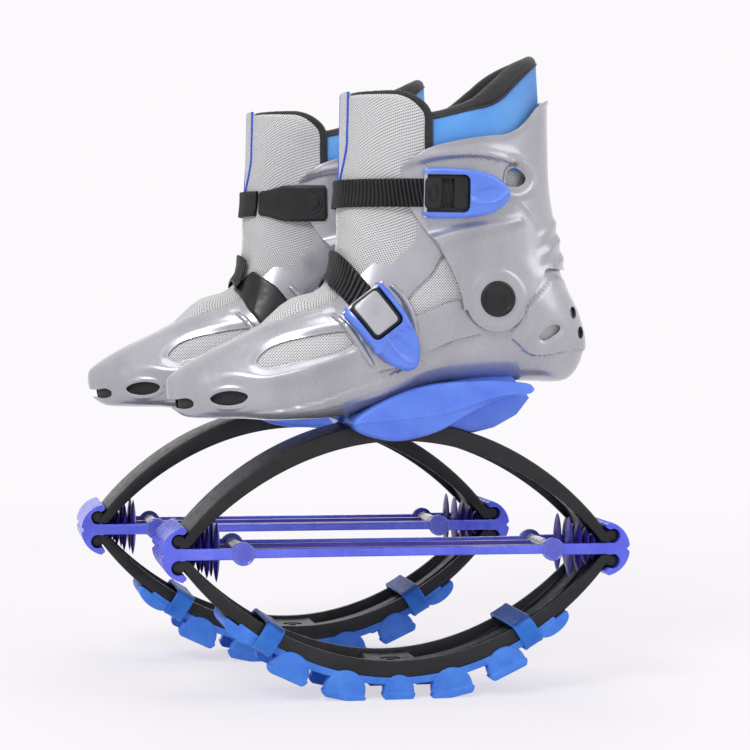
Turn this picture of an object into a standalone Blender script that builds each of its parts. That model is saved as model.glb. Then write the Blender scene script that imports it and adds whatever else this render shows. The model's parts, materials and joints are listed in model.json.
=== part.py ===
# A pair of rebound shoes: moulded boots on a spring made of two leaf arches.
# Metres, +Z up, toes towards -X, the left shoe on the -Y side, soles of the treads at z = 0.
# Every piece is modelled once, for the left shoe in its own frame, and mirrored for the right one.

import math

import bmesh
import bpy
import numpy as np
from mathutils import Matrix, Vector

# Driving dimensions
KNOB_SPAN = 0.328
ARCH_RISE = 0.096
ARCH_WIDTH = 0.060
BOOT_LENGTH = 0.319
BOOT_HEIGHT = 0.245
BOOT_WIDTH = 0.100
TOE_REACH = 0.171
PAIR_SPACING = 0.175
PAIR_STAGGER = 0.0455

# Clearances
GAP = 0.0003
RUNNING_GAP = 0.0006
OVERRUN = 0.004
WELD = 0.000005
SHARP_EDGE = 35

# Leaf arches
ARCH_END_REACH = 0.003
ARCH_FULLNESS = 1.2
ARCH_WEB = 0.0045
ARCH_WALL = 0.0042
ARCH_CROWN_DEPTH = 0.0145
ARCH_END_DEPTH = 0.0075
ARCH_RIB_WIDTH = 0.010
ARCH_RIB_DEPTH = 0.0095
ARCH_EDGE = 0.0012
ARCH_DRAFT = 0.0008
ARCH_STATIONS = 13
ARCH_TURN = math.radians(78)
ARCH_FADE_SHARE = 0.125
KNOB_RADIUS = 0.0048
KNOB_OFFSET = 0.0096
BOSS_RADIUS = 0.0105
BOSS_PROUD = 0.0012

# Arch bolt
BOLT_RADIUS = 0.003
BOLT_HEAD_RADIUS = 0.0065
BOLT_HEAD_HEIGHT = 0.0045
BOLT_COVER = 0.0087

# End hubs
HUB_RADIUS = 0.022
HUB_LEAN = 0.0075
HUB_WIDTH = 0.067
HUB_NOTCH = 0.006
HUB_RIDGE = 0.0007
HUB_RIDGES = 4
HUB_RIDGE_ANGLES = (13, 80)
HUB_LOBE_SHARE = 0.80
HUB_LOBE_RADIUS_SHARE = 0.10
HUB_LAND_SHARE = 0.25

# Side bars, inner bands and cross rods
BAR_THICKNESS = 0.0045
BAR_END_HEIGHT = 0.0084
BAR_HEIGHT = 0.0062
EYE_RADIUS = 0.0085
EYE_FROM_KNOB = 0.047
EYE_BULGE = 0.0008
ROD_RADIUS = 0.0055
ROD_PIN_RADIUS = 0.0028
BAND_OFFSET = 0.015
BAND_WIDTH = 0.006
BAND_HEIGHT = 0.0042
FIN_WIDTH = 0.019
FIN_THICKNESS = 0.0052
FIN_TIP_SHARE = 0.06
FIN_FROM_KNOB = (0.0295, 0.0225, 0.0165, 0.0115)
FIN_HEIGHT_SHARES = (0.66, 0.72, 0.75, 0.83)

# Tread and its clips
TREAD_BAND = 0.0025
TREAD_DEPTH = 0.0135
TREAD_CHEEK = 0.0030
TREAD_RISE = 0.0065
TREAD_REACH = 0.120
LUG_LENGTH = 0.032
LUG_PLACES = (0.0, 0.0385, 0.0785, 0.1190)
LUG_LENGTH_SHARES = (0.70, 1.0, 0.95, 0.66)
LUG_FOOT_SHARES = (1.04, 1.31, 1.19, 1.13)
LUG_FLAT_SHARE = 0.42
LUG_SIDE_SHARE = 0.5
TREAD_EDGE_SHARE = 0.4
CLIP_PLACE = 0.1003
CLIP_LENGTH = 0.0155
CLIP_WALL = 0.0028
CLIP_CORNER = 0.005
CLIP_SLACK = 0.0012

# Sole plate
SOLE_REST = 0.0015
BLOCK_WIDTH = 0.054
BLOCK_FRONT = 0.050
BLOCK_REAR = 0.100
BLOCK_FRONT_SHARES = ((1.0, 0.30), (1.0, -0.14))
BLOCK_REAR_SHARES = ((0.50, -0.14), (0.72, -0.05), (0.90, 0.05), (1.0, 0.16), (1.0, 0.45))
LEAF_LENGTH = 0.136
LEAF_DROP = 0.0445
LEAF_FRONT = 0.040
LEAF_TOP = 0.0295
LEAF_SPAN = 0.098
LEAF_EDGE = 0.0035
LEAF_ROOT = 0.012

# Boot shell, cuff and liner, as layers of one form
SHELL_WALL = 0.003
CUFF_WALL = 0.003
CUFF_GAP = 0.0014
LINER_GAP = 0.0006
LINER_WALL = 0.0052
COLLAR_WALL = 0.011
FORM_POINTS = 18
THROAT_HALF_WIDTH = 0.014
THROAT_START = 0.060
THROAT_FOOT_SHARE = 0.45
TONGUE_PROUD = 0.0036
TONGUE_WALL = 0.008
TONGUE_ANGLE = math.radians(20)
TONGUE_SPREAD = math.radians(46)
TONGUE_SPREAD_RINGS = (5.5, 8.5)
TONGUE_ROUND_RINGS = 1.2
TONGUE_ROUND_SHARE = 0.3
TONGUE_SIDE_GAPS = 6
PIVOT_X = 0.0675
PIVOT_HEIGHT = 0.0895
PIVOT_CAP_RADIUS = 0.0133
PIVOT_CAP_HEIGHT = 0.003
PIVOT_PIN_RADIUS = 0.0045
PIVOT_BOSS_RADIUS = 0.0240

# Straps and buckles
STRAP_WIDTH = 0.0205
STRAP_THICKNESS = 0.0026
STRAP_TOOTH = 0.0009
STRAP_TEETH = 11
STRAP_SLACK = 0.0015
STRAP_RISE = 0.0045
STRAP_TAIL_SHARE = 0.38
STRAP_MOUTH_SHARE = 0.62
ANKLE_STRAP_HEIGHT = 0.166
ANKLE_BUCKLE_BACK = 0.0678
ANKLE_PAD_BACK = 0.0068
INSTEP_STRAP_LEAN = math.radians(38)
INSTEP_STRAP_RING = 5.718
INSTEP_BUCKLE_BACK = 0.0242
INSTEP_PAD_BACK = 0.0017
FRAME_LENGTH = 0.033
FRAME_RAIL = 0.0024
FRAME_HEIGHT = 0.0088
LEVER_LENGTH = 0.066
LEVER_ARM = 0.00465
LEVER_FLOOR = 0.0022
LEVER_HEIGHT = 0.0092
LEVER_FRONT = 0.0024
LEVER_PIN_RADIUS = 0.0015
LEVER_PIN_HEIGHT = 0.0060
PAD_LENGTH = 0.058
PAD_WIDTH = 0.029
PAD_THICKNESS = 0.003
PAD_MIDDLE_SHARE = 0.42
LAYER_REACH = 0.033

# Places that follow from the sizes above
KNOB_X = KNOB_SPAN / 2
MID_Z = TREAD_DEPTH + ARCH_RISE
SOLE_Z = MID_Z + ARCH_RISE + SOLE_REST
HUB_X = KNOB_X - HUB_LEAN
ARCH_HALF_LENGTH = KNOB_X + ARCH_END_REACH
EYE_X = KNOB_X - EYE_FROM_KNOB
LAND_X = HUB_X + HUB_LEAN * HUB_LAND_SHARE
BAR_Y = HUB_WIDTH / 2
PIVOT_Z = SOLE_Z + PIVOT_HEIGHT
CUFF_IN = CUFF_GAP
CUFF_OUT = CUFF_GAP + CUFF_WALL
LINER_OUT = -(SHELL_WALL + LINER_GAP)
FRAME_HALF = STRAP_WIDTH / 2 + RUNNING_GAP + FRAME_RAIL
LEVER_WIDTH = 2 * (FRAME_HALF + RUNNING_GAP + LEVER_ARM)

# The form of the boot, from toe to leg. Each row is one ring: the x and height of its front or
# top point, the x and height of its back or sole point, all as shares of the boot's length and
# height from the toe tip and the sole, then its half width and its widest place as shares, and
# how square its front and back halves are.
FORM_SHARES = (
    (0.006, 0.122, 0.019, 0.024, 0.18, 0.50, 2.2, 2.4),
    (0.034, 0.151, 0.047, 0.004, 0.40, 0.42, 2.1, 3.0),
    (0.091, 0.196, 0.097, 0.000, 0.64, 0.38, 2.0, 3.4),
    (0.185, 0.257, 0.185, 0.000, 0.86, 0.36, 1.9, 3.6),
    (0.292, 0.338, 0.285, 0.000, 0.98, 0.36, 1.8, 3.6),
    (0.368, 0.400, 0.376, 0.003, 1.00, 0.38, 1.8, 3.4),
    (0.390, 0.453, 0.480, 0.029, 0.98, 0.42, 1.9, 3.2),
    (0.395, 0.510, 0.599, 0.088, 0.94, 0.44, 2.0, 3.0),
    (0.401, 0.567, 0.724, 0.112, 0.90, 0.46, 2.1, 3.0),
    (0.404, 0.620, 0.850, 0.114, 0.88, 0.48, 2.2, 2.8),
    (0.408, 0.665, 0.956, 0.120, 0.87, 0.48, 2.2, 2.4),
    (0.409, 0.710, 0.998, 0.212, 0.87, 0.48, 2.2, 2.2),
    (0.411, 0.755, 0.984, 0.314, 0.88, 0.50, 2.2, 2.1),
    (0.411, 0.804, 0.946, 0.416, 0.90, 0.50, 2.2, 2.1),
    (0.412, 0.857, 0.919, 0.547, 0.92, 0.50, 2.2, 2.1),
    (0.414, 0.914, 0.894, 0.702, 0.94, 0.50, 2.2, 2.1),
    (0.415, 0.967, 0.887, 0.853, 0.96, 0.50, 2.2, 2.1),
    (0.417, 1.016, 0.884, 0.996, 0.97, 0.50, 2.2, 2.1),
    (0.420, 1.078, 0.880, 1.159, 0.96, 0.50, 2.2, 2.1),
)
FACET_RINGS = (0, 1, 2, 3, 5, 6, 7, 9, 10, 11, 13, 15, 17, 18)
SHELL_TOP_RING = 15
TOE_WALL_RINGS = 0.6
CUFF_FIRST_RING = 9.5
CUFF_TOP_RING = 17.3
COLLAR_FIRST_RING = 13.0
LINER_TOP_RING = 16.0
COLLAR_TOP_RING = 18.0
TONGUE_FIRST_RING = 4.6
TONGUE_TOP_RING = 16.5

# Side outlines on the boot, as shares of its length and height from the toe tip and the sole
CUFF_SHARES = (
    (0.520, 0.755), (0.560, 0.796), (0.592, 0.816), (0.655, 0.836), (0.725, 0.852),
    (0.760, 0.857), (0.794, 0.878), (0.823, 0.910), (0.853, 0.951), (0.900, 0.980),
    (0.960, 0.980), (0.960, 0.560), (0.960, 0.470), (0.914, 0.462), (0.875, 0.459),
    (0.858, 0.424), (0.815, 0.345), (0.789, 0.305),
)
CUFF_FRONT_SHARES = (
    (0.669, 0.330), (0.660, 0.385), (0.640, 0.450), (0.608, 0.520), (0.570, 0.580),
    (0.536, 0.650), (0.520, 0.700),
)
SHELL_TOP_SHARES = (
    (0.382, 0.388), (0.455, 0.460), (0.500, 0.560), (0.539, 0.650), (0.595, 0.640),
    (0.680, 0.570), (0.750, 0.508), (0.820, 0.475), (0.900, 0.466), (1.100, 0.462),
)
WINDOW_SHARES = (
    (0.194, 0.176), (0.206, 0.164), (0.270, 0.176), (0.370, 0.214), (0.410, 0.238),
    (0.412, 0.262), (0.385, 0.266), (0.290, 0.244), (0.218, 0.208),
)
ANKLE_WINDOW_SHARES = (
    (0.526, 0.352), (0.545, 0.312), (0.600, 0.340), (0.690, 0.372), (0.690, 0.430),
    (0.625, 0.500), (0.590, 0.440),
)
LINER_SPLIT_SHARE = 0.760
FOOT_SPACE_RINGS = (1.6, 3, 5, 6, 7, 9, 10, 11, 13, 16.6)
COLLAR_TOP_SHARES = (
    (0.560, 0.925), (0.600, 0.930), (0.640, 0.945), (0.690, 0.972), (0.740, 1.020),
    (0.790, 1.068), (0.840, 1.100), (0.900, 1.128),
)
LEAF_SHARES = (
    (0.00, 0.72), (0.03, 0.60), (0.11, 0.44), (0.25, 0.24), (0.38, 0.11), (0.52, 0.04),
    (0.66, 0.01), (0.80, 0.00), (0.92, 0.04), (1.00, 0.15), (0.94, 0.25), (0.80, 0.33),
    (0.69, 0.49), (0.61, 0.62), (0.52, 0.78), (0.41, 0.91), (0.25, 1.00),
    (0.11, 0.94), (0.03, 0.84),
)
MEDIAL_LEAF_SHARES = (
    (0.00, 0.72), (0.03, 0.60), (0.11, 0.44), (0.25, 0.24), (0.38, 0.11), (0.52, 0.04),
    (0.66, 0.01), (0.80, 0.00), (0.95, 0.06), (1.10, 0.20), (1.165, 0.32), (1.15, 0.44),
    (1.12, 0.56), (1.01, 0.77), (0.88, 0.90), (0.735, 0.96), (0.50, 0.99), (0.25, 1.00),
    (0.11, 0.94), (0.03, 0.84),
)
LEVER_SHARES = (
    (0.02, 0.34), (0.00, 0.40), (0.02, 0.46), (0.10, 0.50), (0.30, 0.50), (0.50, 0.47),
    (0.68, 0.39), (0.84, 0.27), (0.95, 0.14), (1.00, 0.00),
)
PAD_SHARES = (
    (0.00, 0.34), (0.12, 0.36), (0.32, 0.46), (0.45, 0.50), (0.95, 0.50), (1.00, 0.45),
)

CUFF_WINDOW_SHARES = (
    (0.768, 0.706), (0.766, 0.731), (0.773, 0.751), (0.787, 0.759), (0.806, 0.751),
    (0.818, 0.733), (0.813, 0.714), (0.793, 0.702),
)

# Small vents: place, half length and half height, as shares of the boot's length and height
TOE_VENT = (0.125, 0.072, 0.041, 0.030)
TOE_SLOT = (0.0, 0.062, 0.045, 0.036)
HEEL_VENT = (0.879, 0.278, 0.026, 0.030)
HEEL_HOLES = ((0.951, 0.327, 0.0105, 0.0185), (0.973, 0.265, 0.0105, 0.0185))


def clear_scene():
    for old in list(bpy.data.objects):
        bpy.data.objects.remove(old, do_unlink=True)


def collection(name):
    made = bpy.data.collections.new(name)
    bpy.context.scene.collection.children.link(made)
    return made


def material(name, colour, roughness, metallic=0.0):
    made = bpy.data.materials.new(name)
    made.use_nodes = True
    shader = made.node_tree.nodes["Principled BSDF"]
    shader.inputs["Base Color"].default_value = (*colour, 1.0)
    shader.inputs["Roughness"].default_value = roughness
    shader.inputs["Metallic"].default_value = metallic
    return made


def linked(name, mesh):
    made = bpy.data.objects.new(name, mesh)
    bpy.context.scene.collection.objects.link(made)
    return made


def mesh_object(name, points, faces):
    mesh = bpy.data.meshes.new(name)
    mesh.from_pydata([tuple(point) for point in points], [], faces)
    mesh.update()
    return linked(name, mesh)


def settled(obj):
    """Replaces an object's mesh, curve or modifiers with the mesh that they make."""
    graph = bpy.context.evaluated_depsgraph_get()
    mesh = bpy.data.meshes.new_from_object(obj.evaluated_get(graph))
    mesh.transform(obj.matrix_world)
    form = bmesh.new()
    form.from_mesh(mesh)
    bmesh.ops.remove_doubles(form, verts=form.verts, dist=WELD)
    bmesh.ops.recalc_face_normals(form, faces=form.faces)
    form.to_mesh(mesh)
    form.free()
    name = obj.name
    bpy.data.objects.remove(obj, do_unlink=True)
    return linked(name, mesh)


def combine(obj, other, operation):
    """Joins, cuts or intersects a solid with another one, which it uses up."""
    modifier = obj.modifiers.new(operation, "BOOLEAN")
    modifier.operation = operation
    modifier.object = other
    bpy.context.view_layer.update()
    obj = settled(obj)
    bpy.data.objects.remove(other, do_unlink=True)
    return obj


def cut(obj, *tools):
    for tool in tools:
        obj = combine(obj, tool, "DIFFERENCE")
    return obj


def join(obj, *others):
    for other in others:
        obj = combine(obj, other, "UNION")
    return obj


def keep(obj, tool):
    return combine(obj, tool, "INTERSECT")


def rounded(obj, width, segments=2, angle=40):
    modifier = obj.modifiers.new("Edges", "BEVEL")
    modifier.width = width
    modifier.segments = segments
    modifier.limit_method = "ANGLE"
    modifier.angle_limit = math.radians(angle)
    modifier.use_clamp_overlap = True
    bpy.context.view_layer.update()
    return settled(obj)


def arc(x, z, radius, start, end, steps):
    """Points of an arc, angles in degrees from +X towards +Z."""
    angles = np.radians(np.linspace(start, end, steps))
    return [(x + radius * math.cos(a), z + radius * math.sin(a)) for a in angles]


def oval(x, z, length, height, steps=10):
    angles = [2 * math.pi * i / steps for i in range(steps)]
    return [(x + length / 2 * math.cos(a), z + height / 2 * math.sin(a)) for a in angles]


def plate(name, outline, low, high, plane="XZ"):
    """A flat outline with a thickness: in the XZ plane from y low to high, or in XY from z."""
    curve = bpy.data.curves.new(name, "CURVE")
    curve.dimensions = "2D"
    curve.fill_mode = "BOTH"
    curve.extrude = (high - low) / 2
    spline = curve.splines.new("POLY")
    spline.points.add(len(outline) - 1)
    for point, (a, b) in zip(spline.points, outline):
        point.co = (a, b, 0, 1)
    spline.use_cyclic_u = True
    obj = linked(name, curve)
    if plane == "XZ":
        obj.rotation_euler = (math.radians(90), 0, 0)
        obj.location = (0, (low + high) / 2, 0)
    else:
        obj.location = (0, 0, (low + high) / 2)
    bpy.context.view_layer.update()
    return settled(obj)


def block(name, low, high):
    bpy.ops.mesh.primitive_cube_add(size=1)
    obj = bpy.context.object
    obj.name = name
    obj.scale = [b - a for a, b in zip(low, high)]
    obj.location = [(a + b) / 2 for a, b in zip(low, high)]
    bpy.context.view_layer.update()
    return settled(obj)


def cylinder(name, radius, start, end, sides=20):
    """A cylinder between two points."""
    start, end = Vector(start), Vector(end)
    bpy.ops.mesh.primitive_cylinder_add(vertices=sides, radius=radius, depth=(end - start).length)
    obj = bpy.context.object
    obj.name = name
    obj.rotation_mode = "QUATERNION"
    obj.rotation_quaternion = Vector((0, 0, 1)).rotation_difference(end - start)
    obj.location = (start + end) / 2
    bpy.context.view_layer.update()
    return settled(obj)


def loft(name, rings, closed=False, turned=None):
    """Skins rings of equally many points in triangles, and fills the two ends unless closed.

    Spans from the turned one on are split along the other diagonal, so that the two walls of a
    layer, which run opposite ways, have the same facets.
    """
    count = len(rings[0])
    points = [point for ring in rings for point in ring]
    faces = []
    spans = len(rings) if closed else len(rings) - 1
    for i in range(spans):
        a, b = i * count, (i + 1) % len(rings) * count
        for j in range(count):
            k = (j + 1) % count
            if turned is not None and i >= turned:
                faces += [(a + j, a + k, b + j), (a + k, b + k, b + j)]
            else:
                faces += [(a + j, a + k, b + k), (a + j, b + k, b + j)]
    if not closed:
        faces.append(tuple(range(count)))
        faces.append(tuple(range(len(points) - 1, len(points) - 1 - count, -1)))
    obj = mesh_object(name, points, faces)
    return settled(obj)


# The form of the boot


def form_row(ring):
    """One row of the form table at any place along it, on a smooth curve through its rows."""
    rows = np.array(FORM_SHARES)
    i = min(max(int(math.floor(ring)), 0), len(rows) - 2)
    t = ring - i
    before, after = rows[max(i - 1, 0)], rows[min(i + 2, len(rows) - 1)]
    a, b = rows[i], rows[i + 1]
    c1, c2 = (b - before) / 2, (after - a) / 2
    return (
        (2 * t**3 - 3 * t**2 + 1) * a + (t**3 - 2 * t**2 + t) * c1
        + (3 * t**2 - 2 * t**3) * b + (t**3 - t**2) * c2
    )


def boot_x(share):
    return share * BOOT_LENGTH - TOE_REACH


def boot_z(share):
    return SOLE_Z + share * BOOT_HEIGHT


def form_point(ring, angle, grow):
    """A point of the form grown by a distance. Angle 0 is the front, positive is medial."""
    row = [float(value) for value in form_row(ring)]
    tx, tz, bx, bz, width, widest, front_square, back_square = row
    top = Vector((boot_x(tx), 0, boot_z(tz)))
    bottom = Vector((boot_x(bx), 0, boot_z(bz)))
    up = (top - bottom).normalized()
    centre = bottom + (top - bottom) * widest
    c, s = math.cos(angle), math.sin(angle)
    square = front_square if c > 0 else back_square
    reach = (top + up * grow - centre) if c > 0 else (centre - bottom + up * grow)
    along = math.copysign(abs(c) ** (2 / square), c)
    across = math.copysign(abs(s) ** (2 / square), s)
    side = width * BOOT_WIDTH / 2 + grow
    point = centre + reach * along
    return Vector((point.x, side * across, point.z))


def form_ring(ring, grow, count=0):
    count = count or FORM_POINTS
    step = 2 * math.pi / count
    return [form_point(ring, step * i, grow) for i in range(count)]


def rings_between(first, last):
    inner = [i for i in FACET_RINGS if first + 0.25 < i < last - 0.25]
    return [first, *inner, last]


def form_solid(name, grow, first=0, last=len(FORM_SHARES) - 1):
    return loft(name, [form_ring(r, grow) for r in rings_between(first, last)])


def form_tube(name, first, last, outer, inner, open_ends=True, toe=0):
    """A wall of the form between two growths, with both ends open or with a closed toe."""
    places = rings_between(first, last)
    out = [form_ring(r, outer) for r in places]
    if open_ends:
        back = [form_ring(r, inner) for r in reversed(places)]
        return loft(name, out + back, closed=True, turned=len(out))
    back = [form_ring(r, inner) for r in reversed(rings_between(first + toe, last))]
    return loft(name, out + back, turned=len(out))


def facet_point(ring, angle, grow):
    """A point of the form's facets, which lie a little inside its smooth surface."""
    step = 2 * math.pi / FORM_POINTS
    j = math.floor(angle / step)
    under = max(r for r in FACET_RINGS[:-1] if r <= ring)
    above = min(r for r in FACET_RINGS if r > under)
    t, u = angle / step - j, (ring - under) / (above - under)
    a, b = [form_point(under, (j + k) * step, grow) for k in (0, 1)]
    c, d = [form_point(above, (j + k) * step, grow) for k in (0, 1)]
    return a.lerp(b, t).lerp(c.lerp(d, t), u)


def on_plane(angle, normal, distance, grow, low=5.0, high=18.0):
    """The point of the grown form at this angle that lies on a plane, by halving."""
    for _ in range(30):
        middle = (low + high) / 2
        if facet_point(middle, angle, grow).dot(normal) < distance:
            low = middle
        else:
            high = middle
    return facet_point(low, angle, grow)


def boot_outline(shares):
    return [(boot_x(x), boot_z(z)) for x, z in shares]


# Spring pieces


def arch_curve(x):
    """Height of an arch's outer face over the spring's middle plane, and its slope."""
    a = ARCH_HALF_LENGTH
    share = max(1 - (x / a) ** 2, 0.0001)
    height = ARCH_RISE * share ** (1 / ARCH_FULLNESS)
    slope = -2 * x / a**2 * ARCH_RISE / ARCH_FULLNESS * share ** (1 / ARCH_FULLNESS - 1)
    return height, slope


def arch_depth(x):
    share = 1 - (x / KNOB_X) ** 2
    return ARCH_END_DEPTH + (ARCH_CROWN_DEPTH - ARCH_END_DEPTH) * max(share, 0)


def arch_web(x):
    """Thickness of the web, and how far its channels are cut: they run out at the knobs."""
    depth = arch_depth(x)
    fade = min(1, max(0, (1 - abs(x) / KNOB_X) / ARCH_FADE_SHARE))
    return ARCH_WEB + (depth - GAP - ARCH_WEB) * (1 - fade), fade


def arch_frame(x):
    """A point of the outer face and the inward normal there, in the XZ plane."""
    height, slope = arch_curve(x)
    inward = Vector((slope, 0, -1)).normalized()
    return Vector((x, 0, MID_Z + height)), inward


def arch_ring(x):
    point, inward = arch_frame(x)
    depth = arch_depth(x)
    web, fade = arch_web(x)
    rib = web + (ARCH_RIB_DEPTH * depth / ARCH_CROWN_DEPTH - web) * fade
    rib = min(max(rib, web + GAP / 2), depth)
    half, wall, core = ARCH_WIDTH / 2, ARCH_WIDTH / 2 - ARCH_WALL, ARCH_RIB_WIDTH / 2
    side = [
        (half - ARCH_EDGE, 0), (half, ARCH_EDGE), (half, depth), (wall, depth),
        (wall - ARCH_DRAFT, web), (core + ARCH_DRAFT, web), (core, rib),
    ]
    outline = [(-y, d) for y, d in side] + [(y, d) for y, d in reversed(side)]
    return [point + inward * d + Vector((0, y, 0)) for y, d in outline]


def arch_places():
    turn = np.linspace(-ARCH_TURN, ARCH_TURN, ARCH_STATIONS)
    return [KNOB_X * math.sin(t) / math.sin(ARCH_TURN) for t in turn]


def arch(name):
    obj = loft(name, [arch_ring(x) for x in arch_places()])
    half = ARCH_WIDTH / 2
    for side in (-1, 1):
        x, z = side * KNOB_X, MID_Z + KNOB_OFFSET
        obj = join(obj, cylinder("Knob", KNOB_RADIUS, (x, -half, z), (x, half, z), 10))
    foot = MID_Z + BAR_END_HEIGHT / 2 + RUNNING_GAP
    obj = cut(obj, block("Foot", (-KNOB_SPAN, -BOOT_WIDTH, 0), (KNOB_SPAN, BOOT_WIDTH, foot)))
    crown = MID_Z + ARCH_RISE
    low = crown - ARCH_RIB_DEPTH - BOSS_PROUD
    obj = join(obj, cylinder("Boss", BOSS_RADIUS, (0, 0, low), (0, 0, crown - ARCH_EDGE), 12))
    bore = BOLT_RADIUS + GAP
    return cut(obj, cylinder("Bore", bore, (0, 0, low - OVERRUN), (0, 0, crown + OVERRUN), 10))


def flipped(obj, height):
    """The same piece upside down about a height."""
    turn = Matrix.Translation((0, 0, 2 * height)) @ Matrix.Diagonal((1, 1, -1, 1))
    obj.data.transform(turn)
    obj.data.flip_normals()
    return obj


def arch_envelope(name, clearance):
    """All that lies inside the arch's outer face, for cutting what sits on it."""
    outline = [(x, arch_frame(x)[0].z + clearance) for x in arch_places()]
    outline += [(KNOB_X, MID_Z), (-KNOB_X, MID_Z)]
    half = ARCH_WIDTH / 2 + clearance
    return plate(name, outline, -half, half)


def hub_outline(side):
    """Half of the C-section: outer face, lobe, socket and the land that the bars meet."""
    ridged = []
    for i, angle in enumerate(np.linspace(*HUB_RIDGE_ANGLES, HUB_RIDGES * 2 + 1)):
        radius = HUB_RADIUS - (HUB_RIDGE if i % 2 else 0)
        ridged += arc(0, 0, radius, angle, angle, 1)
    socket = KNOB_RADIUS + RUNNING_GAP
    lobe_height, lobe_radius = HUB_RADIUS * HUB_LOBE_SHARE, HUB_RADIUS * HUB_LOBE_RADIUS_SHARE
    lobe = arc(HUB_LEAN / 2, lobe_height, lobe_radius, 150, 200, 3)
    hollow = arc(HUB_LEAN, KNOB_OFFSET, socket, 118, -112, 9)
    land = [(LAND_X - HUB_X, BAR_END_HEIGHT / 2)]
    upper = ridged + lobe + hollow + land
    lower = [(p, -h) for p, h in reversed(upper)]
    notch = [(HUB_RADIUS - HUB_NOTCH, 0)]
    return [(side * (HUB_X + p), MID_Z + h) for p, h in notch + upper + lower]


def hub(name, side):
    half = HUB_WIDTH / 2
    return plate(name, hub_outline(side), -half, half)


def bar_outline():
    """Side view of a tension bar: deep ends, two round eyes and a slim middle."""
    end, slim = BAR_END_HEIGHT / 2, BAR_HEIGHT / 2
    tip = LAND_X - GAP
    deep = math.degrees(math.asin(end / EYE_RADIUS))
    thin = math.degrees(math.asin(slim / EYE_RADIUS))
    upper = [(tip, end)]
    upper += arc(EYE_X, 0, EYE_RADIUS, deep, 180 - thin, 6)
    upper += arc(-EYE_X, 0, EYE_RADIUS, thin, 180 - deep, 6)
    upper += [(-tip, end)]
    lower = [(x, -z) for x, z in reversed(upper)]
    return [(x, MID_Z + z) for x, z in upper + lower]


def side_bar(name, side):
    low, high = sorted((side * (BAR_Y - BAR_THICKNESS), side * BAR_Y))
    obj = plate(name, bar_outline(), low, high)
    for end in (-1, 1):
        x = end * EYE_X
        start, stop = side * (BAR_Y - BAR_THICKNESS - OVERRUN), side * (BAR_Y - EYE_BULGE)
        hole = ROD_PIN_RADIUS + GAP
        obj = cut(obj, cylinder("Eye", hole, (x, start, MID_Z), (x, stop, MID_Z), 10))
    return obj


def cross_rod(name, end):
    x, reach = end * EYE_X, BAR_Y - BAR_THICKNESS - GAP
    rod = cylinder(name, ROD_RADIUS, (x, -reach, MID_Z), (x, reach, MID_Z), 10)
    pin = BAR_Y - EYE_BULGE - GAP
    rod = join(rod, cylinder("Pin", ROD_PIN_RADIUS, (x, -pin, MID_Z), (x, pin, MID_Z), 8))
    slot = BAND_HEIGHT / 2 + GAP
    for side in (-1, 1):
        middle, half = side * BAND_OFFSET, BAND_WIDTH / 2 + GAP
        low = (x - ROD_RADIUS * 2, middle - half, MID_Z - slot)
        high = (x + ROD_RADIUS * 2, middle + half, MID_Z + slot)
        rod = cut(rod, block("Slot", low, high))
    return rod


def fin(x, y, height):
    """A bump stop: a lens-section blade that comes to a point above and below the band."""
    rings = []
    for share in (-1.0, -0.5, 0.5, 1.0):
        swell = max(1 - share**2, FIN_TIP_SHARE)
        thick, wide = FIN_THICKNESS / 2 * swell, FIN_WIDTH / 2 * math.sqrt(swell)
        z = MID_Z + share * height
        rings.append([(x, y - wide, z), (x + thick, y, z), (x, y + wide, z), (x - thick, y, z)])
    return loft("Fin", rings)


def fin_height(x, share):
    """A share of the room between the spring's middle and the web of an arch."""
    height, slope = arch_curve(x)
    return share * (height - arch_web(x)[0] * math.hypot(1, slope))


def fin_band(name, side):
    y, half, tall = side * BAND_OFFSET, BAND_WIDTH / 2, BAND_HEIGHT / 2
    reach = LAND_X - GAP
    obj = block(name, (-reach, y - half, MID_Z - tall), (reach, y + half, MID_Z + tall))
    for end in (-1, 1):
        for place, share in zip(FIN_FROM_KNOB, FIN_HEIGHT_SHARES):
            x = KNOB_X - place
            obj = join(obj, fin(end * x, y, fin_height(x, share)))
    return obj


def lower_frame(x):
    """A point of the lower arch's outer face, the way out of the spring and the way along."""
    point, inward = arch_frame(x)
    outward = Vector((-inward.x, 0, inward.z))
    along = Vector((-outward.z, 0, outward.x))
    return Vector((x, 0, 2 * MID_Z - point.z)), outward, along


def lug_outline(x, length, foot):
    """A lug seen from the side: flat underneath with a domed cheek above."""
    point, outward, along = lower_frame(x)
    dome = [(math.cos(a), math.sin(a)) for a in np.radians(np.linspace(0, 180, 7))]
    shape = [(c * length / 2, -s * TREAD_RISE) for c, s in dome]
    side, flat = foot * LUG_SIDE_SHARE, length * LUG_FLAT_SHARE
    shape += [(-length / 2, side), (-flat, foot), (flat, foot), (length / 2, side)]
    places = [point + along * a + outward * d for a, d in shape]
    return [(p.x, p.z) for p in places]


def tread(name):
    half = ARCH_WIDTH / 2 + TREAD_CHEEK
    places = np.linspace(-TREAD_REACH, TREAD_REACH, 13)
    outer, inner = [], []
    for x in places:
        point, outward, _ = lower_frame(x)
        outer.append(point + outward * (TREAD_BAND + GAP))
        inner.append(point - outward * TREAD_BAND)
    outline = [(p.x, p.z) for p in outer + inner[::-1]]
    edge = half - TREAD_CHEEK * TREAD_EDGE_SHARE
    obj = plate(name, outline, -edge, edge)
    for place, long, deep in zip(LUG_PLACES, LUG_LENGTH_SHARES, LUG_FOOT_SHARES):
        for x in sorted({-place, place}):
            shape = lug_outline(x, LUG_LENGTH * long, TREAD_DEPTH * deep)
            obj = join(obj, plate("Lug", shape, -half, half))
    below = block("Floor", (-KNOB_SPAN, -BOOT_WIDTH, -KNOB_SPAN), (KNOB_SPAN, BOOT_WIDTH, 0))
    return cut(obj, flipped(arch_envelope("Arch space", GAP), MID_Z), below)


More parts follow.
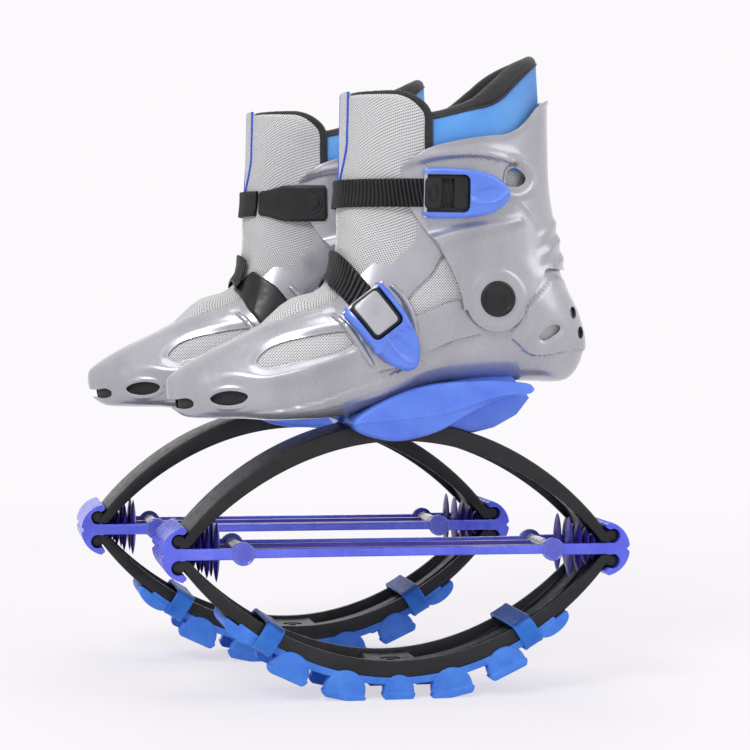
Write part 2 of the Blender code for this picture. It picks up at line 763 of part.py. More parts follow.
def tread_clip(name, side):
    """A closed strap loop round the lower arch and the tread band."""
    x = side * CLIP_PLACE
    point, outward, along = lower_frame(x)
    depth = arch_depth(x)
    half = ARCH_WIDTH / 2 + TREAD_CHEEK + GAP
    low, high = -(TREAD_BAND + GAP + CLIP_SLACK), depth + CLIP_SLACK

    def loop(extra, corner):
        a, bottom, top = half + extra, low - extra, high + extra
        return [
            (a - corner, bottom), (a, bottom + corner), (a, top - corner), (a - corner, top),
            (corner - a, top), (-a, top - corner), (-a, bottom + corner), (corner - a, bottom),
        ]

    def solid(name, shape, length):
        rings = []
        for t in (-length / 2, length / 2):
            middle = point + along * t
            rings.append([middle - outward * d + Vector((0, y, 0)) for y, d in shape])
        return loft(name, rings)

    outer = rounded(solid(name, loop(CLIP_WALL, CLIP_CORNER), CLIP_LENGTH), CLIP_WALL / 4, 1)
    return cut(outer, solid("Inside", loop(0, CLIP_WALL / 2), CLIP_LENGTH * 2))


def bolt_tip():
    """Height of the arch bolt's tip, a cover below the boot's raised instep."""
    return on_plane(math.pi, Vector((1, 0, 0)), 0, 0).z - BOLT_COVER


def sole_plate(name):
    crown = MID_Z + ARCH_RISE
    front = [(-a * BLOCK_FRONT, crown + b * ARCH_RISE) for a, b in BLOCK_FRONT_SHARES]
    rear = [(a * BLOCK_REAR, crown + b * ARCH_RISE) for a, b in BLOCK_REAR_SHARES]
    half = BLOCK_WIDTH / 2
    obj = plate(name, front + rear, -half, half)
    top = SOLE_Z + LEAF_TOP
    for side, shares in ((-1, LEAF_SHARES), (1, MEDIAL_LEAF_SHARES)):
        line = [(a * LEAF_LENGTH - LEAF_FRONT, top - b * LEAF_DROP) for a, b in shares]
        low, high = sorted((side * LEAF_ROOT, side * LEAF_SPAN / 2))
        obj = join(obj, rounded(plate("Leaf", line, low, high), LEAF_EDGE, 2, 50))
    bore = cylinder("Bore", BOLT_RADIUS + GAP, (0, 0, MID_Z), (0, 0, bolt_tip() + GAP), 12)
    return cut(obj, bore, arch_envelope("Arch space", GAP), form_solid("Boot space", GAP))


def arch_bolt(name):
    seat = MID_Z + ARCH_RISE - ARCH_RIB_DEPTH - BOSS_PROUD - GAP
    head = cylinder(name, BOLT_HEAD_RADIUS, (0, 0, seat - BOLT_HEAD_HEIGHT), (0, 0, seat), 6)
    shank = cylinder("Shank", BOLT_RADIUS, (0, 0, seat - GAP), (0, 0, bolt_tip()), 12)
    return join(head, shank)


# Boot pieces


def through(name, outline):
    """A side window cut right through the boot."""
    half = BOOT_WIDTH
    return plate(name, outline, -half, half)


def share_oval(spec, steps=10):
    x, z, length, height = spec
    return oval(boot_x(x), boot_z(z), length * BOOT_LENGTH * 2, height * BOOT_HEIGHT * 2, steps)


def boot_shell(name):
    obj = form_tube(name, 0, SHELL_TOP_RING, 0, -SHELL_WALL, False, TOE_WALL_RINGS)
    line = boot_outline(SHELL_TOP_SHARES)
    high = boot_z(1.5)
    above = line + [(line[-1][0], high), (line[0][0], high)]
    start = line[0][0] - THROAT_START
    half, end = THROAT_HALF_WIDTH, line[0][0] + OVERRUN
    throat = [(start, -GAP), (end, -half), (end, half), (start, GAP)]
    middle = boot_z(SHELL_TOP_SHARES[0][1] * THROAT_FOOT_SHARE)
    obj = cut(obj, through("Above", above), plate("Throat", throat, middle, high, "XY"))
    obj = cut(obj, through("Window", boot_outline(WINDOW_SHARES)))
    obj = cut(obj, through("Ankle window", boot_outline(ANKLE_WINDOW_SHARES)))
    obj = cut(obj, through("Toe vent", share_oval(TOE_VENT)))
    obj = cut(obj, through("Toe slot", share_oval(TOE_SLOT)))
    obj = cut(obj, through("Heel vent", share_oval(HEEL_VENT)))
    obj = cut(obj, *[through("Heel hole", share_oval(hole, 6)) for hole in HEEL_HOLES])
    bore = PIVOT_PIN_RADIUS + GAP
    start, stop = (PIVOT_X, -BOOT_WIDTH, PIVOT_Z), (PIVOT_X, BOOT_WIDTH, PIVOT_Z)
    return cut(obj, cylinder("Pivot bore", bore, start, stop, 12))


def cuff_outline():
    foot = arc(PIVOT_X, PIVOT_Z, PIVOT_BOSS_RADIUS, -25, -160, 7)
    return boot_outline(CUFF_SHARES) + foot + boot_outline(CUFF_FRONT_SHARES)


def cuff(name):
    obj = form_tube(name, CUFF_FIRST_RING, CUFF_TOP_RING, CUFF_OUT, CUFF_IN)
    obj = keep(obj, through("Cuff side", cuff_outline()))
    obj = cut(obj, through("Window", boot_outline(CUFF_WINDOW_SHARES)))
    bore = PIVOT_PIN_RADIUS + GAP
    start, stop = (PIVOT_X, -BOOT_WIDTH, PIVOT_Z), (PIVOT_X, BOOT_WIDTH, PIVOT_Z)
    return cut(obj, cylinder("Pivot bore", bore, start, stop, 12))


def cuff_side_y():
    """How far out the cuff's outer face lies at the pivot."""
    best = 0
    for i in range(200):
        angle = math.pi * i / 200
        point = on_plane(angle, Vector((0, 0, 1)), PIVOT_Z, CUFF_OUT, 9.0, 18.0)
        if abs(point.x - PIVOT_X) < PIVOT_CAP_RADIUS:
            best = max(best, point.y)
    return best


def pivot(name, side):
    face = cuff_side_y() + GAP
    tip = side * (face - CUFF_OUT - SHELL_WALL)
    stem = (PIVOT_X, tip, PIVOT_Z), (PIVOT_X, side * (face + GAP), PIVOT_Z)
    cap = (PIVOT_X, side * face, PIVOT_Z), (PIVOT_X, side * (face + PIVOT_CAP_HEIGHT), PIVOT_Z)
    disc = rounded(cylinder(name, PIVOT_CAP_RADIUS, *cap, 18), PIVOT_CAP_HEIGHT / 3, 1)
    return join(disc, cylinder("Stem", PIVOT_PIN_RADIUS, *stem, 10))


def split_z():
    return boot_z(LINER_SPLIT_SHARE)


def liner_boot(name):
    outer, inner = LINER_OUT, LINER_OUT - LINER_WALL
    obj = form_solid(name, outer, 0.8, LINER_TOP_RING)
    obj = cut(obj, loft("Foot space", [form_ring(r, inner, 9) for r in FOOT_SPACE_RINGS]))
    low, high = (-BOOT_LENGTH, -BOOT_WIDTH, split_z()), (BOOT_LENGTH, BOOT_WIDTH, boot_z(2))
    return cut(obj, block("Above", low, high), tongue("Tongue space", GAP))


def collar_outline():
    line = boot_outline(COLLAR_TOP_SHARES)
    low = split_z() + GAP
    return line + [(boot_x(1.0), line[-1][1]), (boot_x(1.0), low), (line[0][0], low)]


def liner_collar(name):
    outer, inner = LINER_OUT, LINER_OUT - COLLAR_WALL
    obj = form_tube(name, COLLAR_FIRST_RING, COLLAR_TOP_RING, outer, inner)
    obj = keep(obj, through("Collar side", collar_outline()))
    return cut(obj, tongue("Tongue space", GAP))


def tongue(name, grow=0.0):
    """A crowned pad down the front of the leg, which tucks under the shell at its lower end."""
    rings = []
    foot, calf = TONGUE_SPREAD_RINGS
    for ring in np.linspace(TONGUE_FIRST_RING, TONGUE_TOP_RING, 11):
        leg = min(1, max(0, (ring - foot) / (calf - foot)))
        round_off = max(0, 1 - (TONGUE_TOP_RING - ring) / TONGUE_ROUND_RINGS)
        reach = (TONGUE_ANGLE + TONGUE_SPREAD * leg) * (1 - TONGUE_ROUND_SHARE * round_off**3)
        reach += TONGUE_SIDE_GAPS * grow / (BOOT_WIDTH / 2)
        outer, inner = [], []
        for t in np.linspace(-1, 1, 9):
            tuck = abs(t) ** 4
            proud = LINER_OUT + (TONGUE_PROUD - LINER_OUT) * leg * (1 - tuck)
            proud += OVERRUN if grow else 0
            depth = LINER_OUT - LINER_WALL - TONGUE_WALL - 2 * grow
            outer.append(form_point(ring, reach * t, proud))
            if abs(t) in (0, 1):
                inner.append(form_point(ring, reach * t, depth))
        rings.append(outer + inner[::-1])
    obj = loft(name, rings)
    if grow:
        return obj
    (x, z), *line = boot_outline(SHELL_TOP_SHARES)
    line = [(x + 2 * GAP, z + 4 * GAP)] + [(x - GAP, z + 2 * GAP) for x, z in line]
    low, high = boot_z(0), boot_z(1)
    rest = [(line[-1][0], low), (boot_x(0), low), (boot_x(0), high), (x + 2 * GAP, high)]
    below = through("Under shell", line + rest)
    layer = cut(form_solid("Shell layer", OVERRUN * 2, 2, 15), form_solid("Inner", LINER_OUT, 1, 16))
    return cut(obj, keep(layer, below))


class Wrap:
    """A strap's way over the boot: a plane across the leg or instep, and the layer it lies on."""

    def __init__(self, normal, point, seat, buckle_back, pad_back):
        self.normal = normal
        self.distance = point.dot(normal)
        self.seat = seat
        self.rise = STRAP_RISE
        front = self.point(0, 0).x
        self.buckle = self.frame_at(self.angle_at(front + buckle_back, -1, seat), seat)
        self.head = self.angle_at(front + pad_back, 1, STRAP_RISE)

    def point(self, angle, grow, across=0.0):
        return on_plane(angle, self.normal, self.distance + across, grow)

    def angle_at(self, x, side, grow):
        """The angle, from the front, at which the strap's line passes a place along the boot."""
        low, high = 0.0, math.radians(150)
        for _ in range(30):
            middle = (low + high) / 2
            if self.point(side * middle, grow).x < x:
                low = middle
            else:
                high = middle
        return side * low

    def angle_along(self, distance):
        """The lateral angle at a distance along the strap from the buckle's middle."""
        turn = self.buckle.inverted()
        low, high = 0.0, math.radians(150)
        for _ in range(30):
            middle = (low + high) / 2
            if (turn @ self.point(-middle, self.seat)).x < distance:
                low = middle
            else:
                high = middle
        return -low

    def frame_at(self, angle, grow):
        """A matrix on the form: X along the strap to the back, Y across it, Z out."""
        step = math.radians(4) * math.copysign(1, angle)
        here = self.point(angle, grow)
        along = (self.point(angle + step, grow) - self.point(angle - step, grow)).normalized()
        half = STRAP_WIDTH / 2
        slope = self.point(angle, grow, half) - self.point(angle, grow, -half)
        out = along.cross(slope).normalized()
        if out.y * math.copysign(1, angle) < 0:
            out = -out
        across = out.cross(along)
        turn = Matrix((along, across, out)).transposed().to_4x4()
        return Matrix.Translation(here) @ turn


ANKLE = Wrap(
    Vector((0, 0, 1)), Vector((0, 0, SOLE_Z + ANKLE_STRAP_HEIGHT)), CUFF_OUT,
    ANKLE_BUCKLE_BACK, ANKLE_PAD_BACK,
)
INSTEP = Wrap(
    Vector((math.cos(INSTEP_STRAP_LEAN), 0, math.sin(INSTEP_STRAP_LEAN))),
    form_point(INSTEP_STRAP_RING, 0, 0), 0, INSTEP_BUCKLE_BACK, INSTEP_PAD_BACK,
)


def strap(name, wrap):
    """A ladder strap from inside its buckle, over the tongue, to the front of its pad."""
    tail = wrap.angle_along(FRAME_LENGTH * STRAP_TAIL_SHARE)
    mouth = wrap.angle_along(-FRAME_LENGTH * STRAP_MOUTH_SHARE)
    half = STRAP_WIDTH / 2
    rings = []
    for i in range(STRAP_TEETH * 2 + 1):
        angle = tail + (wrap.head - tail) * i / (STRAP_TEETH * 2)
        share = min(1.0, max(0.0, angle / mouth))
        grow = wrap.rise + (wrap.seat - wrap.rise) * share**3 + 2 * GAP
        top = grow + STRAP_THICKNESS - (STRAP_TOOTH if i % 2 else 0)
        under = [wrap.point(angle, grow, across) for across in (-half, 0, half)]
        over = [wrap.point(angle, top, across) for across in (half, 0, -half)]
        rings.append(under + over)
    return loft(name, rings)


def placed(obj, frame):
    obj.matrix_world = frame
    bpy.context.view_layer.update()
    return settled(obj)


def layered(obj, seat, low, high):
    """Keeps what lies between two layers over the form."""
    obj = keep(obj, form_solid("Outer layer", seat + high, 5))
    return cut(obj, form_solid("Inner layer", seat + low, 5))


def pin_place():
    return -FRAME_LENGTH / 2 + LEVER_FRONT / 2, LEVER_PIN_HEIGHT


def buckle_frame(name, wrap):
    """A ratchet body: a tunnel for the strap between two rails, with the lever's pin across it."""
    deep, high, half = LAYER_REACH, FRAME_HEIGHT * 2, FRAME_HALF
    reach = FRAME_LENGTH / 2
    obj = block(name, (-reach, -half, -deep), (reach, half, high))
    obj = layered(placed(obj, wrap.buckle), wrap.seat, 2 * GAP, FRAME_HEIGHT)
    half = STRAP_WIDTH / 2 + RUNNING_GAP
    tunnel = block("Tunnel", (-reach * 2, -half, -deep), (reach * 2, half, high))
    tunnel = placed(tunnel, wrap.buckle)
    obj = cut(obj, layered(tunnel, wrap.seat, -OVERRUN, STRAP_THICKNESS + STRAP_SLACK))
    x, z = pin_place()
    half = LEVER_WIDTH / 2 - LEVER_FRONT / 2
    pin = cylinder("Pin", LEVER_PIN_RADIUS, (x, -half, z), (x, half, z), 10)
    return join(obj, placed(pin, wrap.buckle))


def buckle_lever(name, wrap):
    """A paddle with two arms round the ratchet body, hung on its pin."""
    x, z = pin_place()
    start = x - LEVER_FRONT
    side = [(start + a * LEVER_LENGTH, b * LEVER_WIDTH) for a, b in LEVER_SHARES]
    outline = side + [(a, -b) for a, b in reversed(side[:-1])]
    obj = plate(name, outline, -LAYER_REACH, LAYER_REACH, "XY")
    obj = layered(placed(obj, wrap.buckle), wrap.seat, LEVER_FLOOR, LEVER_HEIGHT)
    half = FRAME_HALF + RUNNING_GAP
    end = FRAME_LENGTH / 2 + RUNNING_GAP
    low, high = (-LEVER_LENGTH, -half, -BOOT_WIDTH), (end, half, BOOT_WIDTH)
    obj = cut(obj, placed(block("Window", low, high), wrap.buckle))
    half = LEVER_WIDTH
    bore = cylinder("Bore", LEVER_PIN_RADIUS + GAP, (x, -half, z), (x, half, z), 12)
    return cut(obj, placed(bore, wrap.buckle))


def strap_pad(name, wrap):
    """The medial end plate that a strap is fastened to."""
    start = wrap.point(wrap.head, wrap.rise)
    middle = wrap.angle_at(start.x + PAD_LENGTH * PAD_MIDDLE_SHARE, 1, wrap.seat)
    base = wrap.frame_at(middle, wrap.seat)
    begin = (base.inverted() @ start).x + 2 * GAP
    side = [(begin + a * PAD_LENGTH, b * PAD_WIDTH) for a, b in PAD_SHARES]
    outline = side + [(a, -b) for a, b in reversed(side)]
    obj = plate(name, outline, -LAYER_REACH, LAYER_REACH, "XY")
    return layered(placed(obj, base), wrap.seat, 2 * GAP, PAD_THICKNESS)


def lever_pin(wrap):
    x, z = pin_place()
    return wrap.buckle @ Vector((x, 0, z))


# The pair

SURFACES = {
    "pearl plastic": ((0.46, 0.46, 0.52), 0.28),
    "blue plastic": ((0.10, 0.24, 0.85), 0.30),
    "violet plastic": ((0.16, 0.18, 0.90), 0.25),
    "indigo rubber": ((0.05, 0.03, 0.36), 0.45),
    "tread rubber": ((0.06, 0.25, 0.80), 0.55),
    "black nylon": ((0.03, 0.03, 0.033), 0.42),
    "black trim": ((0.02, 0.02, 0.022), 0.50),
    "steel": ((0.55, 0.55, 0.57), 0.30),
    "grey mesh": ((0.56, 0.56, 0.54), 0.90),
    "blue fabric": ((0.13, 0.40, 0.95), 0.90),
}

ORIGINS = {
    "ground": Vector((0, 0, 0)),
    "spring ends": Vector((0, 0, MID_Z)),
    "boot": Vector((0, 0, SOLE_Z)),
    "cuff": Vector((PIVOT_X, 0, PIVOT_Z)),
    "ankle lever": lever_pin(ANKLE),
    "instep lever": lever_pin(INSTEP),
}

PIECES = (
    ("tread", tread, "tread rubber", "ground"),
    ("front_tread_clip", lambda name: tread_clip(name, -1), "blue plastic", "ground"),
    ("rear_tread_clip", lambda name: tread_clip(name, 1), "blue plastic", "ground"),
    ("lower_arch", lambda name: flipped(arch(name), MID_Z), "black nylon", "ground"),
    ("front_hub", lambda name: hub(name, -1), "violet plastic", "spring ends"),
    ("rear_hub", lambda name: hub(name, 1), "violet plastic", "spring ends"),
    ("side_bar_outer", lambda name: side_bar(name, -1), "violet plastic", "spring ends"),
    ("side_bar_inner", lambda name: side_bar(name, 1), "violet plastic", "spring ends"),
    ("fin_band_outer", lambda name: fin_band(name, -1), "indigo rubber", "spring ends"),
    ("fin_band_inner", lambda name: fin_band(name, 1), "indigo rubber", "spring ends"),
    ("front_cross_rod", lambda name: cross_rod(name, -1), "steel", "spring ends"),
    ("rear_cross_rod", lambda name: cross_rod(name, 1), "steel", "spring ends"),
    ("upper_arch", arch, "black nylon", "spring ends"),
    ("arch_bolt", arch_bolt, "steel", "boot"),
    ("sole_plate", sole_plate, "blue plastic", "boot"),
    ("boot_shell", boot_shell, "pearl plastic", "boot"),
    ("liner_boot", liner_boot, "grey mesh", "boot"),
    ("liner_collar", liner_collar, "blue fabric", "boot"),
    ("tongue", tongue, "grey mesh", "boot"),
    ("pivot_outer", lambda name: pivot(name, -1), "black trim", "boot"),
    ("pivot_inner", lambda name: pivot(name, 1), "black trim", "boot"),
    ("instep_strap", lambda name: strap(name, INSTEP), "black trim", "boot"),
    ("instep_strap_pad", lambda name: strap_pad(name, INSTEP), "black trim", "boot"),
    ("instep_buckle_frame", lambda name: buckle_frame(name, INSTEP), "black trim", "boot"),
    ("instep_buckle_lever", lambda name: buckle_lever(name, INSTEP),
     "blue plastic", "instep lever"),
    ("cuff", cuff, "pearl plastic", "cuff"),
    ("ankle_strap", lambda name: strap(name, ANKLE), "black trim", "cuff"),
    ("ankle_strap_pad", lambda name: strap_pad(name, ANKLE), "black trim", "cuff"),
    ("ankle_buckle_frame", lambda name: buckle_frame(name, ANKLE), "black trim", "cuff"),
    ("ankle_buckle_lever", lambda name: buckle_lever(name, ANKLE),
     "blue plastic", "ankle lever"),
)

SHOES = (
    ("left", Vector((PAIR_STAGGER / 2, -PAIR_SPACING / 2, 0)), False),
    ("right", Vector((-PAIR_STAGGER / 2, PAIR_SPACING / 2, 0)), True),
)


def set_down(piece, name, place, origin, mirrored, surface, shoes):
    """One shoe's copy of a piece, with its origin on the axis that it turns about."""
    mesh = piece.data.copy()
    mesh.name = name
    mesh.transform(Matrix.Translation(-origin))
    origin = origin.copy()
    if mirrored:
        mesh.transform(Matrix.Diagonal((1, -1, 1, 1)))
        mesh.flip_normals()
        origin.y = -origin.y
    mesh.shade_smooth()
    mesh.set_sharp_from_angle(angle=math.radians(SHARP_EDGE))
    mesh.materials.clear()
    mesh.materials.append(material(name + " " + surface, *SURFACES[surface]))
    made = bpy.data.objects.new(name, mesh)
    made.location = place + origin
    shoes.objects.link(made)


def main():
    clear_scene()
    shoes = collection("Jumping shoes")
    for name, maker, surface, body in PIECES:
        piece = maker(name)
        for side, place, mirrored in SHOES:
            title = side + "_" + name
            set_down(piece, title, place, ORIGINS[body], mirrored, surface, shoes)
        bpy.data.objects.remove(piece, do_unlink=True)


main()
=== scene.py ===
# Looks of a pair of rebound shoes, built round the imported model.
# Every piece is shaped once for the left shoe, in its own frame, and mirrored for the right one.
import bpy
import bmesh
import json
import math
import numpy as np
from mathutils import Matrix, Vector
from mathutils.kdtree import KDTree


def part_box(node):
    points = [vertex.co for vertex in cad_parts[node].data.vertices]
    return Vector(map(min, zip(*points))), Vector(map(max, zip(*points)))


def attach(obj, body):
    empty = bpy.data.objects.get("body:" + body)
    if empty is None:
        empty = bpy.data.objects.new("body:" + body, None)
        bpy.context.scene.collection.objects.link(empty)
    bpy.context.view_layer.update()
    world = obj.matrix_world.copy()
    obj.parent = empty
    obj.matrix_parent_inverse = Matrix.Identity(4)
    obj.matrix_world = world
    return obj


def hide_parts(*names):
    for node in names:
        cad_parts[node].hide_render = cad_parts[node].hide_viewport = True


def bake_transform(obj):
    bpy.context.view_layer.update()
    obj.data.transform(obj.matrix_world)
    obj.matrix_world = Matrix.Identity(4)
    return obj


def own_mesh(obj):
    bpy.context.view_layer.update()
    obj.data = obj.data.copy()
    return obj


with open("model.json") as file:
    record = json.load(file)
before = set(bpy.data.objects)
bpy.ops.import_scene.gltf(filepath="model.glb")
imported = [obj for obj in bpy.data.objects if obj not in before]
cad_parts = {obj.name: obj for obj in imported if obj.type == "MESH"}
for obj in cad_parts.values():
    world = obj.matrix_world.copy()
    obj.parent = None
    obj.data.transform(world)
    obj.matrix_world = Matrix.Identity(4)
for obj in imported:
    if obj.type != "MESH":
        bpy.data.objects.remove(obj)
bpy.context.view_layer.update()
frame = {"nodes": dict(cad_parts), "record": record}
nodes = frame["nodes"]
sides = (("left", 1), ("right", -1))
print("frame loaded:", len(nodes), "nodes")


def homeOf(side):
    low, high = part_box(side + "_upper_arch")
    return Vector(((low.x + high.x) / 2, (low.y + high.y) / 2, 0))


homes = {side: homeOf(side) for side, turn in sides}


# Finishes

def srgb(red, green, blue):
    values = [v / 255 for v in (red, green, blue)]
    linear = [v / 12.92 if v <= 0.04045 else ((v + 0.055) / 1.055) ** 2.4 for v in values]
    return (*linear, 1.0)


class Paint:
    # a Principled material whose nodes are added one call at a time

    def __init__(self, name, roughness, **sockets):
        self.material = bpy.data.materials.new(name)
        self.material.use_nodes = True
        self.tree = self.material.node_tree
        self.shader = self.tree.nodes["Principled BSDF"]
        self.shader.inputs["Roughness"].default_value = roughness
        self.sockets(**sockets)
        self.place = self.add("ShaderNodeTexCoord").outputs["Object"]

    def add(self, kind, settings=None, **inputs):
        node = self.tree.nodes.new(kind)
        for key, value in (settings or {}).items():
            setattr(node, key, value)
        for key, value in inputs.items():
            socket = node.inputs[int(key[2:]) if key.startswith("in") else key.replace("_", " ")]
            if isinstance(value, bpy.types.NodeSocket):
                self.tree.links.new(value, socket)
            else:
                socket.default_value = value
        return node

    def math(self, operation, a, b=0.0, c=0.0, clamp=False):
        settings = {"operation": operation, "use_clamp": clamp}
        return self.add("ShaderNodeMath", settings, in0=a, in1=b, in2=c).outputs[0]

    def noise(self, scale, detail=2.0, stretch=None, rough=0.5):
        place = self.place
        if stretch:
            place = self.add("ShaderNodeMapping", Vector=place, Scale=stretch).outputs[0]
        return self.add("ShaderNodeTexNoise", Vector=place, Scale=scale, Detail=detail,
                        Roughness=rough).outputs["Fac"]

    def range(self, value, low, high, toLow, toHigh):
        return self.add("ShaderNodeMapRange", Value=value, From_Min=low, From_Max=high,
                        To_Min=toLow, To_Max=toHigh).outputs["Result"]

    def mottle(self, scale, detail, toLow=0, toHigh=1):
        return self.range(self.noise(scale, detail), 0.3, 0.7, toLow, toHigh)

    def sockets(self, **values):
        for socket, value in values.items():
            self.shader.inputs[socket.replace("_", " ")].default_value = value

    def mix(self, fac, a, b):
        node = self.add("ShaderNodeMix", {"data_type": "RGBA"})
        for index, value in ((0, fac), (6, a), (7, b)):
            if isinstance(value, bpy.types.NodeSocket):
                self.tree.links.new(value, node.inputs[index])
            else:
                node.inputs[index].default_value = value
        return node.outputs[2]

    def colour(self, value):
        socket = self.shader.inputs["Base Color"]
        if isinstance(value, bpy.types.NodeSocket):
            self.tree.links.new(value, socket)
        else:
            socket.default_value = value
        return self

    def rough(self, value):
        self.tree.links.new(value, self.shader.inputs["Roughness"])
        return self

    def relief(self, height, depth, edge=0.0):
        # bump in metres over softly rounded edges
        bump = self.add("ShaderNodeBump", Height=height, Distance=depth, Strength=1.0)
        if edge:
            bevel = self.add("ShaderNodeBevel", {"samples": 4}, Radius=edge)
            self.tree.links.new(bevel.outputs[0], bump.inputs["Normal"])
        self.tree.links.new(bump.outputs[0], self.shader.inputs["Normal"])
        return self


def pearlPlastic():
    p = Paint("Pearl moulded plastic", 0.22, Metallic=0.45, Coat_Weight=0.7, Coat_Roughness=0.1, IOR=1.5)
    swirl = p.noise(26, 4, (1.0, 1.0, 0.35), 0.6)
    flake = p.noise(2600, 1)
    tone = p.mix(p.range(swirl, 0.35, 0.65, 0, 1), srgb(152, 152, 158), srgb(172, 172, 179))
    p.colour(p.mix(p.range(flake, 0.35, 0.75, 0, 0.5), tone, srgb(204, 204, 209)))
    p.rough(p.mottle(60, 3, 0.22, 0.34))
    p.relief(flake, 0.00002, 0.0005)
    return p.material


def mouldedPlastic(name, dark, light, roughness=0.3, glow=0.12):
    p = Paint(name, roughness, Coat_Weight=0.35, Coat_Roughness=0.12)
    p.sockets(Subsurface_Weight=glow, Subsurface_Radius=(0.4, 0.5, 1.0), Subsurface_Scale=0.004)
    p.colour(p.mix(p.mottle(38, 3), dark, light))
    grain = p.noise(1400, 2)
    p.rough(p.mottle(120, 4, roughness - 0.05, roughness + 0.1))
    p.relief(grain, 0.00003)
    return p.material


def clipPlastic():
    # painted shade: darker where it looks up, for the shade that falls on its top
    p = Paint("Blue clip plastic", 0.4, Specular_IOR_Level=0.3)
    p.sockets(Subsurface_Weight=0.1, Subsurface_Scale=0.003)
    upward = p.add("ShaderNodeSeparateXYZ", in0=p.add("ShaderNodeNewGeometry").outputs["Normal"]).outputs[2]
    body = p.mix(p.mottle(60, 3), srgb(42, 112, 208), srgb(60, 134, 224))
    # the navy that upward faces turn towards is painted shade
    p.colour(p.mix(p.range(upward, 0.4, 0.85, 0, 0.8), body, srgb(20, 52, 120)))
    p.rough(p.mottle(160, 4, 0.36, 0.52))
    p.relief(p.noise(1300, 2), 0.00003)
    return p.material


def treadRubber():
    p = Paint("Blue tread rubber", 0.55)
    worn = p.range(p.noise(70, 4, None, 0.65), 0.35, 0.7, 0, 1)
    p.colour(p.mix(worn, srgb(58, 122, 226), srgb(78, 144, 240)))
    p.rough(p.mottle(300, 3, 0.45, 0.65))
    p.relief(p.noise(900, 3), 0.00008)
    return p.material


def blackNylon():
    p = Paint("Glass filled black nylon", 0.4, Specular_IOR_Level=0.4)
    flow = p.noise(46, 5, (0.5, 1.6, 1.0), 0.65)
    p.colour(p.mix(p.range(flow, 0.35, 0.7, 0, 1), srgb(14, 14, 16), srgb(34, 34, 37)))
    p.rough(p.mottle(190, 4, 0.3, 0.5))
    p.relief(p.noise(800, 4), 0.00007, 0.0005)
    return p.material


def blackTrim(name="Black moulded trim", roughness=0.45):
    p = Paint(name, roughness, Specular_IOR_Level=0.4)
    p.colour(p.mix(p.mottle(90, 3), srgb(14, 14, 16), srgb(30, 30, 33)))
    p.rough(p.mottle(240, 3, roughness - 0.08, roughness + 0.08))
    p.relief(p.noise(1600, 2), 0.00005)
    return p.material


def polishedSteel():
    p = Paint("Zinc plated steel", 0.3, Metallic=1.0)
    p.colour(p.mix(p.noise(400, 3), srgb(160, 160, 166), srgb(212, 212, 217)))
    p.rough(p.mottle(900, 3, 0.22, 0.4))
    p.relief(p.noise(1500, 2), 0.00002)
    return p.material


def cells(p, across, up, wide, tall):
    # staggered rows of oval holes on a fabric's own directions, one inside a hole and none outside; it marks
    # where the shade inside the holes is painted
    flat = p.add("ShaderNodeSeparateXYZ", in0=p.add("ShaderNodeUVMap", {"uv_map": "Weave"}).outputs[0])
    rows = p.math("DIVIDE", flat.outputs[1], up)
    odd = p.math("MULTIPLY", p.math("MODULO", p.math("FLOOR", rows), 2.0), 0.5)
    x = p.math("ADD", p.math("DIVIDE", flat.outputs[0], across), odd)
    x = p.math("MULTIPLY", p.math("SUBTRACT", p.math("FRACT", x), 0.5), 2 * across / wide)
    y = p.math("MULTIPLY", p.math("SUBTRACT", p.math("FRACT", rows), 0.5), 2 * up / tall)
    reach = p.math("SQRT", p.math("MULTIPLY_ADD", x, x, p.math("MULTIPLY", y, y)))
    return p.range(reach, 0.8, 1.25, 1, 0)


def spacerMesh(name, thread, shade, hollow):
    p = Paint(name, 0.9)
    p.sockets(Sheen_Weight=0.25)
    hole = cells(p, 0.0021, 0.0011, 0.0009, 0.0007)
    yarn = p.mix(p.mottle(2200, 2), shade, thread)
    # painted shade: the holes take the dark last colour, for the shade inside each hole
    p.colour(p.mix(hole, yarn, hollow))
    p.relief(p.math("SUBTRACT", p.math("MULTIPLY", p.noise(1800, 2), 0.25), hole), 0.0004)
    return p.material


def linerFabric():
    p = Paint("Sky blue liner fabric", 0.8)
    p.sockets(Sheen_Weight=0.3)
    weave = p.add("ShaderNodeTexWave", {"wave_type": "BANDS", "bands_direction": "DIAGONAL"},
                  Vector=p.place, Scale=900.0, Distortion=1.5)
    p.colour(p.mix(p.mottle(30, 3), srgb(92, 164, 250), srgb(110, 182, 255)))
    p.relief(weave.outputs["Fac"], 0.0001)
    return p.material


def wovenTape(name, dark, light):
    # piping and seam tape
    p = Paint(name, 0.75)
    p.sockets(Sheen_Weight=0.2)
    p.colour(p.mix(p.range(p.noise(420, 2), 0.35, 0.65, 0, 1), dark, light))
    p.relief(p.noise(1500, 2), 0.00015)
    return p.material


